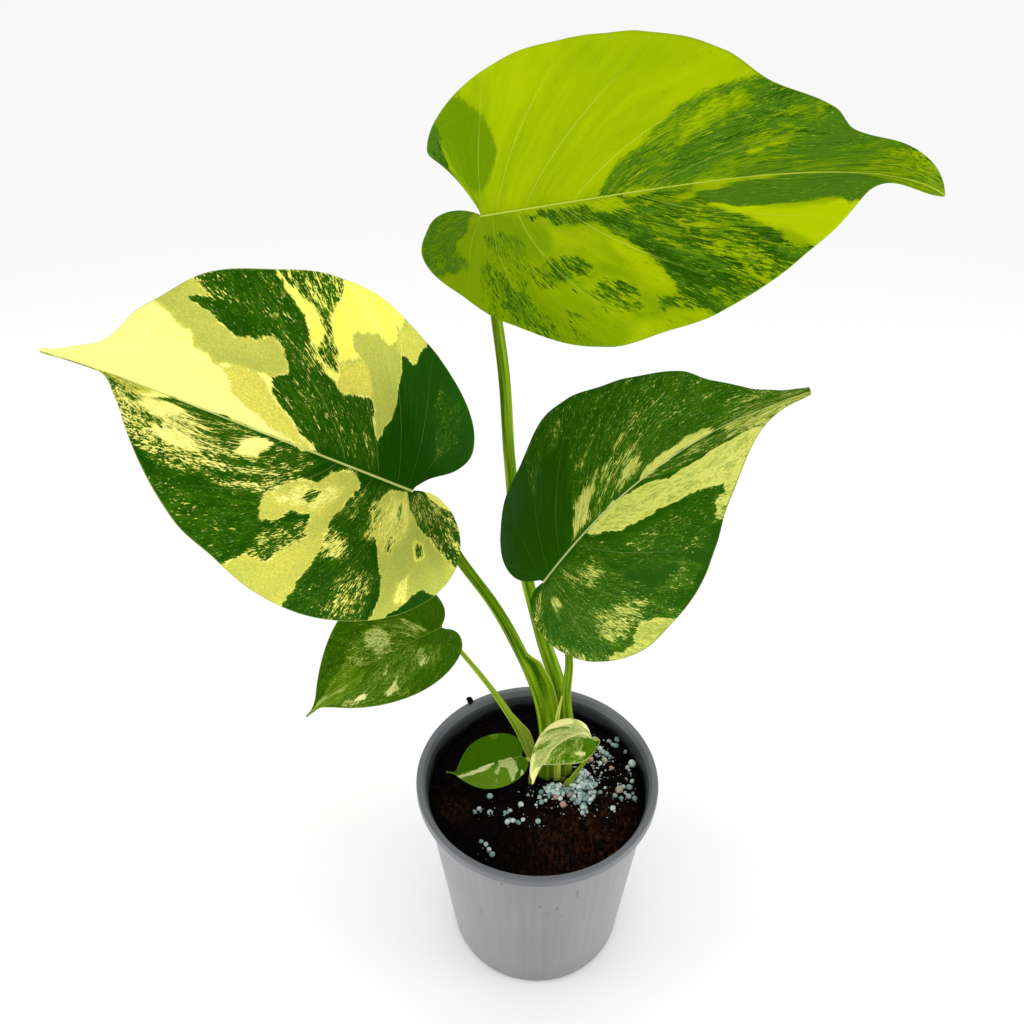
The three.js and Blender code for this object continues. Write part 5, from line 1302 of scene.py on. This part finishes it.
def moistAndShadedPeat(name):
    # damp milled peat, almost black and matt: its own dark brown deepened by painted shade, with a
    # reddish-brown fibrous patch where it has dried in front
    material, addNode = newMaterial(name)
    objectPlace = addNode("TexCoord", output="Object")
    dry = None
    for x, y, core, reach, most in peat["dry"]:
        away = addNode("VectorMath", {0: objectPlace, 1: (x * mm, y * mm, 0.1)}, output="Value",
                       operation="DISTANCE")
        part = addNode("MapRange", {0: away, 1: core * mm, 2: reach * mm, 3: most, 4: 0.0},
                       interpolation_type="SMOOTHSTEP")
        dry = addNode("Math", {0: dry, 1: part}, operation="MAXIMUM") if dry else part
    stretched = addNode("Mapping", {
        "Vector": objectPlace, "Rotation": (0, 0, 0.4), "Scale": [1000 / c for c in peat["fibreCell"]]})
    fibre, crumb = (addNode("TexNoise", {
        "Vector": place, "Scale": scale, "Detail": 5.0, "Roughness": 0.7})
        for place, scale in ((stretched, 1.0), (objectPlace, 1000 / peat["crumbCell"])))
    fibreShare = addNode("MapRange", {0: fibre, 1: 0.49, 2: 0.66})
    share = addNode("Math", {0: fibreShare, 1: dry}, operation="MULTIPLY")
    colour, lighter = (linear(c) for c in peat["dampAndShade"])
    for part, tint in ((crumb, lighter), (share, linear(peat["dried"]))):
        colour = addNode("Mix", {0: part, 6: colour, 7: tint}, **inColour)
    height = addNode("Math", {0: crumb, 1: fibre}, operation="ADD")
    bump = addNode("Bump", {"Strength": 0.7, "Distance": 0.0012, "Height": height})
    shader = addNode("BsdfPrincipled", {
        "Base Color": colour, "Roughness": 0.85, "Normal": bump, "Specular IOR Level": 0.06})
    addNode("OutputMaterial", {"Surface": shader})
    return material


def icosahedron():
    # twelve corners on three golden rectangles
    g = (1 + 5 ** 0.5) / 2
    corners = np.array([(-1, g, 0), (1, g, 0), (-1, -g, 0), (1, -g, 0), (0, -1, g), (0, 1, g),
                        (0, -1, -g), (0, 1, -g), (g, 0, -1), (g, 0, 1), (-g, 0, -1), (-g, 0, 1)], float)
    faces = np.array([(0, 11, 5), (0, 5, 1), (0, 1, 7), (0, 7, 10), (0, 10, 11), (1, 5, 9), (5, 11, 4),
                      (11, 10, 2), (10, 7, 6), (7, 1, 8), (3, 9, 4), (3, 4, 2), (3, 2, 6), (3, 6, 8),
                      (3, 8, 9), (4, 9, 5), (2, 4, 11), (6, 2, 10), (8, 6, 7), (9, 8, 1)])
    return corners / np.linalg.norm(corners[0]), faces


def roundGrain():
    # an icosahedron with every face cut in four and its corners pushed out to a sphere: 80 faces
    corners, faces = icosahedron()
    edges = np.sort(np.concatenate([faces[:, [0, 1]], faces[:, [1, 2]], faces[:, [2, 0]]]), axis=1)
    unique, which = np.unique(edges, axis=0, return_inverse=True)
    middle = corners[unique].mean(axis=1)
    middle /= np.linalg.norm(middle, axis=1, keepdims=True)
    ab, bc, ca = (which.ravel().reshape(3, -1) + len(corners))
    a, b, c = faces.T
    cut = np.concatenate([np.stack(f, -1) for f in ((a, ab, ca), (ab, b, bc), (ca, bc, c), (ab, bc, ca))])
    return np.vstack([corners, middle]), cut


def scatterLumps(shape, places, sizes, stretch, turns):
    # copies of a small shape, each scaled, stretched, turned about two axes and put in its place
    corners, faces = shape
    points = corners[None] * sizes[:, None, None] * stretch[:, None, :]
    a, b = turns[:, 0], turns[:, 1]
    x, y, z = points[..., 0], points[..., 1], points[..., 2]
    x, y = x * np.cos(a)[:, None] - y * np.sin(a)[:, None], x * np.sin(a)[:, None] + y * np.cos(a)[:, None]
    y, z = y * np.cos(b)[:, None] - z * np.sin(b)[:, None], y * np.sin(b)[:, None] + z * np.cos(b)[:, None]
    points = np.stack([x, y, z], -1) + places[:, None, :]
    ids = faces[None] + (np.arange(len(places)) * len(corners))[:, None, None]
    return points.reshape(-1, 3), ids.reshape(-1, 3)


def dryness(x, y):
    # near 1 in the dried patches, and 0.15 away from them
    return np.max([0.15 + most * (1 - smooth(core, reach, np.hypot(x - cx, y - cy)))
                   for cx, cy, core, reach, most in peat["dry"]], axis=0)


def makeCrumbs():
    # a random place, size, stretch and turn for each crumb, most of them small
    count = peat["crumbs"]
    random = np.random.default_rng(7)
    radius = peat["crumbReach"] * np.sqrt(random.random(count))
    angle = random.random(count) * 2 * np.pi
    x, y = radius * np.cos(angle), radius * np.sin(angle)
    smallest, more = peat["crumbSize"]
    size = smallest + more * random.random(count) ** 2.5
    z = crumbledHeight(x, y) + 0.25 * size
    stretch = 0.6 + 0.8 * random.random((count, 3))
    turns = random.random((count, 2)) * aboutTurn
    points, faces = scatterLumps(icosahedron(), np.stack([x, y, z], -1), size, stretch, turns)
    # crumbs away from the dried patches stay near black: their dark brown deepened by painted shade
    shade = np.repeat(random.random(count) * dryness(x, y), 12)
    makePiece("peat_crumbs", points, [faces], looseCrumb("looseCrumb", *peat["crumb"]), "peat",
              values={"shade": shade}, flat=True)


def makeRimCrumb():
    # two lumps flattened a little, roughened, and cut off level just over the rim
    lumpsOnRim = np.array(peat["rimCrumb"])
    points, faces = scatterLumps(roundGrain(), lumpsOnRim[:, :3], lumpsOnRim[:, 3],
                                 np.array([(1, 1, 0.8), (1, 1, 0.9)]), np.zeros((2, 2)))
    points += 0.25 * lumps(points, 1.4, 61)[:, None]
    points[:, 2] = np.maximum(points[:, 2], pot["height"] + 0.05)
    material = looseCrumb("rimCrumb", *peat["rimCrumbColours"])
    shade = np.full(len(points), 0.3)
    makePiece("rim_crumb", points, [faces], material, "peat", ["peat_crumb"], {"shade": shade})


def makeFibres():
    # each fibre is a bowed three-sided sliver that lies on the peat
    count, steps = peat["fibres"], 5
    random = np.random.default_rng(11)
    middle, spread, share = peat["fibreFront"]
    inFront = random.random(count) < share
    radius = peat["fibreReach"] * np.sqrt(random.random(count))
    angle = random.random(count) * 2 * np.pi
    x, y = (np.where(inFront, middle[i] + spread[i] * random.standard_normal(count), radius * turned(angle))
            for i, turned in enumerate((np.cos, np.sin)))
    x, y = np.array([x, y]) * np.minimum(1, peat["fibreLimit"] / np.hypot(x, y))
    turn = random.random(count)[:, None] * 2 * np.pi
    length = (peat["fibreLength"][0] + peat["fibreLength"][1] * random.random(count))[:, None]
    bow = (random.random(count)[:, None] - 0.5) * 1.4
    t = np.linspace(-0.5, 0.5, steps)[None, :]
    px = x[:, None] + length * (t * np.cos(turn) - bow * t * t * np.sin(turn))
    py = y[:, None] + length * (t * np.sin(turn) + bow * t * t * np.cos(turn))
    lift = random.random(count)[:, None] * (0.6 + 3 * t * t)
    line = np.stack([px, py, crumbledHeight(px, py) + 0.15 + 0.5 * lift], -1)
    thinnest, more = peat["fibreRadius"]
    thin = (thinnest + more * random.random(count))[:, None] * (1 - 1.2 * t * t)
    points = np.stack([line + np.stack([-np.sin(turn) * np.cos(a) * thin, np.cos(turn) * np.cos(a) * thin,
                                        np.sin(a) * thin], -1) for a in (0, 2.094, 4.189)], 2).reshape(-1, 3)
    start = (np.arange(count) * steps * 3)[:, None, None]
    faces = (gridQuads(steps, 3, True)[None] + start).reshape(-1, 4)
    caps = (np.array([(2, 1, 0), (steps * 3 - 3, steps * 3 - 2, steps * 3 - 1)])[None] + start).reshape(-1, 3)
    shade = np.repeat((0.3 + 0.7 * random.random(count)) * dryness(x, y), steps * 3)
    fixNormals(makePiece("peat_fibres", points, [faces, caps], looseCrumb("peatFibre", *peat["fibre"]),
                         "peat", values={"shade": shade}))


def looseCrumb(name, dark, light):
    # dry and damp bits of peat: matt, each a little darker or browner than its neighbour
    material, addNode = newMaterial(name)
    shade = addNode("Attribute", output="Fac", attribute_name="shade")
    objectPlace = addNode("TexCoord", output="Object")
    grain = addNode("TexNoise", {"Vector": objectPlace, "Scale": 1000 / peat["grain"], "Detail": 3.0})
    share = addNode("Math", {0: shade, 1: grain}, operation="MULTIPLY")
    colour = addNode("Mix", {0: share, 6: linear(dark), 7: linear(light)}, **inColour)
    bump = addNode("Bump", {"Strength": 0.5, "Distance": 0.0004, "Height": grain})
    shader = addNode("BsdfPrincipled", {
        "Base Color": colour, "Roughness": 0.9, "Specular IOR Level": 0.06, "Normal": bump})
    addNode("OutputMaterial", {"Surface": shader})
    return material


makePeat()
makeCrumbs()
makeRimCrumb()
makeFibres()
print("peat made")


granule = {
    "radius": 0.95, "spread": 0.5, "pitch": 2.4, "jitter": 0.8, "shown": 0.85, "gridMiddle": (16, -3),
    "colours": ("#7fa09f", "#d6e2df"), "beige": "#b9ae98", "pink": "#c79c8c", "dust": "#5c6663",
    "grain": 1.1, "hues": {"beige": 0.93, "pink": 0.98},  # on the beads' own scale, where most lie under 0.85
}
bits = {
    "inPile": 420, "besideSingles": 160, "size": (0.2, 0.7), "reach": 51,
    "middles": [(23, -2.5), (10, -5), (28, 12)], "spreads": [(11, 15), (14, 8), (13, 15)],
}
pile = [
    {"x": 23, "y": -2.5, "rx": 7, "ry": 12, "heap": 2.2},
    {"x": 10, "y": -5, "rx": 8, "ry": 5, "heap": 1.2},
]
strays = [  # x, y and radius of single beads on the peat, and which are beige or pink
    (-30, -17.1, 1.1), (-28.2, -15.3, 1.1), (-26, -33.3, 1.1), (-23.6, -34.6, 1.3), (-23.2, -8, 1.6),
    (-22.6, -18, 1.45), (-22, -37.4, 1.3), (-20.5, -40, 1.5), (-15.3, -17.8, 1.1), (-12.9, -16.4, 1.2),
    (-14, -22.8, 1.4), (-11.4, -21.8, 1.4), (-9, -22.8, 1.1), (-7.6, -12.9, 1.4), (-6.4, -21.4, 1.1),
    (-4.3, -7.4, 0.9), (-0.2, -12.7, 0.8), (0.8, -22.5, 1.4), (1.7, -8.3, 1.3), (2.2, -11.4, 1.4),
    (4.4, -9.8, 1.1), (13, -12.3, 1.6, "pink"), (22.4, -16.8, 1.2), (24.5, -16, 1), (30.6, 32, 1.5),
    (38.2, 30.3, 1.5), (40, 28.4, 1.2), (42.6, 32.7, 1.6), (41.6, 27.6, 1.6), (46.3, 25, 1.2),
    (33, 24.7, 1.5), (34.6, 22.6, 1.2), (30.7, 19.2, 1.4), (36.3, 21.2, 1.6), (38, 19.5, 1.2),
    (35, 16.3, 1.8, "beige"), (27.8, 16.5, 1.6, "pink"), (32.4, 14, 1.3), (38.2, 12.1, 1.3, "pink"),
    (49.3, 16.2, 2), (46.8, 14, 1.1), (37.5, -12.8, 1.4), (39, -5, 1.4), (41.4, -1.7, 2.2, "beige"),
    (43.6, 0.6, 1.2), (44.2, -3, 1.4), (46.5, 0.1, 1.8), (45.8, -4.8, 1.6), (48.3, -3.1, 1.3),
    (48.8, -5.9, 1.5), (42, -6.4, 1.2), (31.6, -4.4, 1.2), (34.4, -1.2, 1.1), (48.4, 5, 1.3),
]


def pileLift(x, y):
    # height of the pile: an upturned bowl for each part, and below 0 outside them
    lifts = []
    for part in pile:
        away = ((x - part["x"]) / part["rx"]) ** 2 + ((y - part["y"]) / part["ry"]) ** 2
        lifts.append(np.where(away < 1, part["heap"] * (1 - away), -1))
    return np.maximum(*lifts)


def heapPlaces():
    # two layers of beads on a loose hexagonal grid
    random = np.random.default_rng(5)
    row, column = np.meshgrid(np.arange(-9, 10), np.arange(-10, 11), indexing="ij")
    middleX, middleY = granule["gridMiddle"]
    layers = []
    for level in (0, 1):
        x = middleX + granule["pitch"] * (column + 0.5 * (row % 2) + 0.4 * level)
        y = middleY + granule["pitch"] * (0.866 * row + 0.5 * level)
        x, y = (c + granule["jitter"] * (2 * random.random(c.shape) - 1) for c in (x, y))
        radius = granule["radius"] + granule["spread"] * random.random(x.shape)
        lift = pileLift(x, y)
        keep = (lift > (0 if level == 0 else 0.7)) & (random.random(x.shape) < granule["shown"])
        z = peatHeight(x, y) + 0.5 * radius + lift + (0.8 + 0.6 * random.random(x.shape)) * level
        layers.append(np.stack([x, y, z, radius], -1)[keep])
    return np.concatenate(layers)


def makeGrains(name, grains, nodes, seed, hue=None):
    # a slightly stretched and roughened ball at each place, with a hue of its own
    random = np.random.default_rng(seed)
    count = len(grains)
    stretch = 0.85 + 0.25 * random.random((count, 3))
    turns = random.random((count, 2)) * aboutTurn
    points, faces = scatterLumps(roundGrain(), grains[:, :3], grains[:, 3], stretch, turns)
    points += 0.12 * lumps(points, 0.9, 70)[:, None]
    hue = random.random(count) if hue is None else hue
    makePiece(name, points, [faces], coatedGranule("coatedGranule_" + name), "granules", nodes,
              {"hue": np.repeat(hue, 42)})


def coatedGranule(name):
    # resin-coated fertiliser: matt, dusty blue-green beads with a few beige and pinkish ones among them
    material, addNode = newMaterial(name)
    hue = addNode("Attribute", output="Fac", attribute_name="hue")
    whiter = addNode("MapRange", {0: hue, 1: 0.2, 2: 0.7})
    beige = addNode("Math", {0: hue, 1: 0.9}, operation="GREATER_THAN")
    pink = addNode("Math", {0: hue, 1: 0.96}, operation="GREATER_THAN")
    objectPlace = addNode("TexCoord", output="Object")
    dust = addNode("TexNoise", {"Vector": objectPlace, "Scale": 1000 / granule["grain"], "Detail": 3.0})
    dustShare = addNode("MapRange", {0: dust, 1: 0.5, 2: 0.68, 4: 0.5})
    colour, white = (linear(c) for c in granule["colours"])
    for part, tint in ((whiter, white), (beige, linear(granule["beige"])), (pink, linear(granule["pink"])),
                       (dustShare, linear(granule["dust"]))):
        colour = addNode("Mix", {0: part, 6: colour, 7: tint}, **inColour)
    bump = addNode("Bump", {"Strength": 0.4, "Distance": 0.0004, "Height": dust})
    shader = addNode("BsdfPrincipled", {"Base Color": colour, "Roughness": 0.6, "Normal": bump})
    addNode("OutputMaterial", {"Surface": shader})
    return material


def makeBits():
    # broken bits of granule: small grains strewn round the pile and beside the single beads
    random = np.random.default_rng(21)
    part = random.integers(0, 3, bits["inPile"])
    middle, spread = (np.array(bits[key])[part] for key in ("middles", "spreads"))
    spot = middle + spread * random.standard_normal((bits["inPile"], 2)) * 0.5
    beside = bits["besideSingles"]
    single = np.array([s[:2] for s in strays])[random.integers(0, len(strays), beside)]
    spot = np.vstack([spot, single + 2 * random.standard_normal((beside, 2))])
    fromCrown = np.hypot(*(spot - (crown["x"], crown["y"])).T)
    spot = spot[(np.hypot(*spot.T) < bits["reach"]) & (fromCrown > 11)]
    low, high = bits["size"]
    size = low + (high - low) * random.random(len(spot)) ** 2
    lift = pileLift(*spot.T)
    z = crumbledHeight(*spot.T) + 0.4 * size + np.where(lift > 0, 1.3 + lift, 0)
    stretch = 0.6 + 0.7 * random.random((len(spot), 3))
    turns = random.random((len(spot), 2)) * aboutTurn
    points, faces = scatterLumps(icosahedron(), np.column_stack([spot, z]), size, stretch, turns)
    hue = np.repeat(0.3 + 0.65 * random.random(len(spot)), 12)
    makePiece("granule_bits", points, [faces], coatedGranule("coatedGranule_bits"), "granules",
              values={"hue": hue})


crown = {
    "x": 7, "y": 11.5, "top": 101, "depth": 34, "topRadius": 10.3, "bottomRadius": 7, "segments": 48,
    "rough": 0.35, "roughSize": 3.5, "smearSize": 4, "green": "#6c7a30", "peatSmear": "#0b0705",
}

heapedGrains = heapPlaces()
x, y, radius = np.array([s[:3] for s in strays]).T
looseGrains = np.column_stack([x, y, peatHeight(x, y) + 0.45 * radius, radius])
looseHue = np.array([granule["hues"][s[3]] if len(s) > 3 else 0.85 * float(draw(i))
                     for i, s in enumerate(strays)])
makeGrains("loose_granules", looseGrains, [], 3, looseHue)
makeGrains("granule_heap", heapedGrains, ["granule_pile"], 4)
makeBits()
print("granules made:", len(looseGrains) + len(heapedGrains))


def makeCrown():
    # a short lathe-turned stump with scarred, lumpy sides, most of it under the peat
    top = crown["top"]
    bottom, radius = top - crown["depth"], crown["topRadius"]
    profile = roundedProfile([(0, bottom, 0), (crown["bottomRadius"], bottom, 2.5), (radius, top - 6, 2),
                              (radius, top + 0.4, 1.6), (0, top + 0.9, 0)])[1:-1]
    rings = latheRings(profile, crown["segments"])
    rings = rings + crown["rough"] * lumps(rings, crown["roughSize"], 81)[..., None] * (1, 1, 0.4)
    place = np.array([crown["x"], crown["y"], 0])
    fixNormals(makeShell("crown_stump", rings + place, place + (0, 0, bottom), place + (0, 0, top + 0.9),
                         scarredStump("scarredStump"), "stalk", ["crown"]))


def scarredStump(name):
    # the plant's short buried stem: green-brown, matt, smeared with peat
    material, addNode = newMaterial(name)
    objectPlace = addNode("TexCoord", output="Object")
    smear = addNode("TexNoise", {"Vector": objectPlace, "Scale": 1000 / crown["smearSize"], "Detail": 4.0})
    share = addNode("MapRange", {0: smear, 1: 0.5, 2: 0.64})
    green, smeared = linear(crown["green"]), linear(crown["peatSmear"])
    colour = addNode("Mix", {0: share, 6: green, 7: smeared}, **inColour)
    shader = addNode("BsdfPrincipled", {"Base Color": colour, "Roughness": 0.8, "Specular IOR Level": 0.15})
    addNode("OutputMaterial", {"Surface": shader})
    return material


makeCrown()
print("crown made")


studio = {  # metres and watts
    "worldStrength": 0.97, "floorSize": 60, "floorColour": "#fbfbfb",
    "lights": {
        "key": {"energy": 0.6, "size": 0.6, "at": (-0.5, -0.8, 1.2)},
        "leftSide": {"energy": 7, "size": 0.5, "at": (-1, -0.15, 0.12)},
        "rightSide": {"energy": 7.6, "size": 0.5, "at": (1, -0.15, 0.12)},
    },
}


def makeStudio():
    # an evenly white room, a pale floor, a faint key light from the front and a soft light from either side
    scene = bpy.context.scene
    scene.view_settings.view_transform = "Standard"
    world = bpy.data.worlds.new("softBox")
    world.use_nodes = True
    background = world.node_tree.nodes["Background"]
    background.inputs[0].default_value = (1, 1, 1, 1)
    background.inputs[1].default_value = studio["worldStrength"]
    scene.world = world
    bpy.ops.mesh.primitive_plane_add(size=studio["floorSize"], location=(0, 0, -0.0002))
    floor = bpy.context.object
    floor.name = "pale_floor"
    material, addNode = newMaterial("whitePaper")
    shader = addNode("BsdfPrincipled", {
        "Base Color": linear(studio["floorColour"]), "Roughness": 0.9, "Specular IOR Level": 0.0})
    addNode("OutputMaterial", {"Surface": shader})
    floor.data.materials.append(material)
    for name, spec in studio["lights"].items():
        data = bpy.data.lights.new(name, "AREA")
        data.energy, data.size = spec["energy"], spec["size"]
        lamp = bpy.data.objects.new(name, data)
        scene.collection.objects.link(lamp)
        lamp.location = spec["at"]
        lamp.rotation_euler = (Vector((0, 0, 0.1)) - Vector(spec["at"])).to_track_quat("-Z", "Y").to_euler()


makeStudio()
print("studio made")
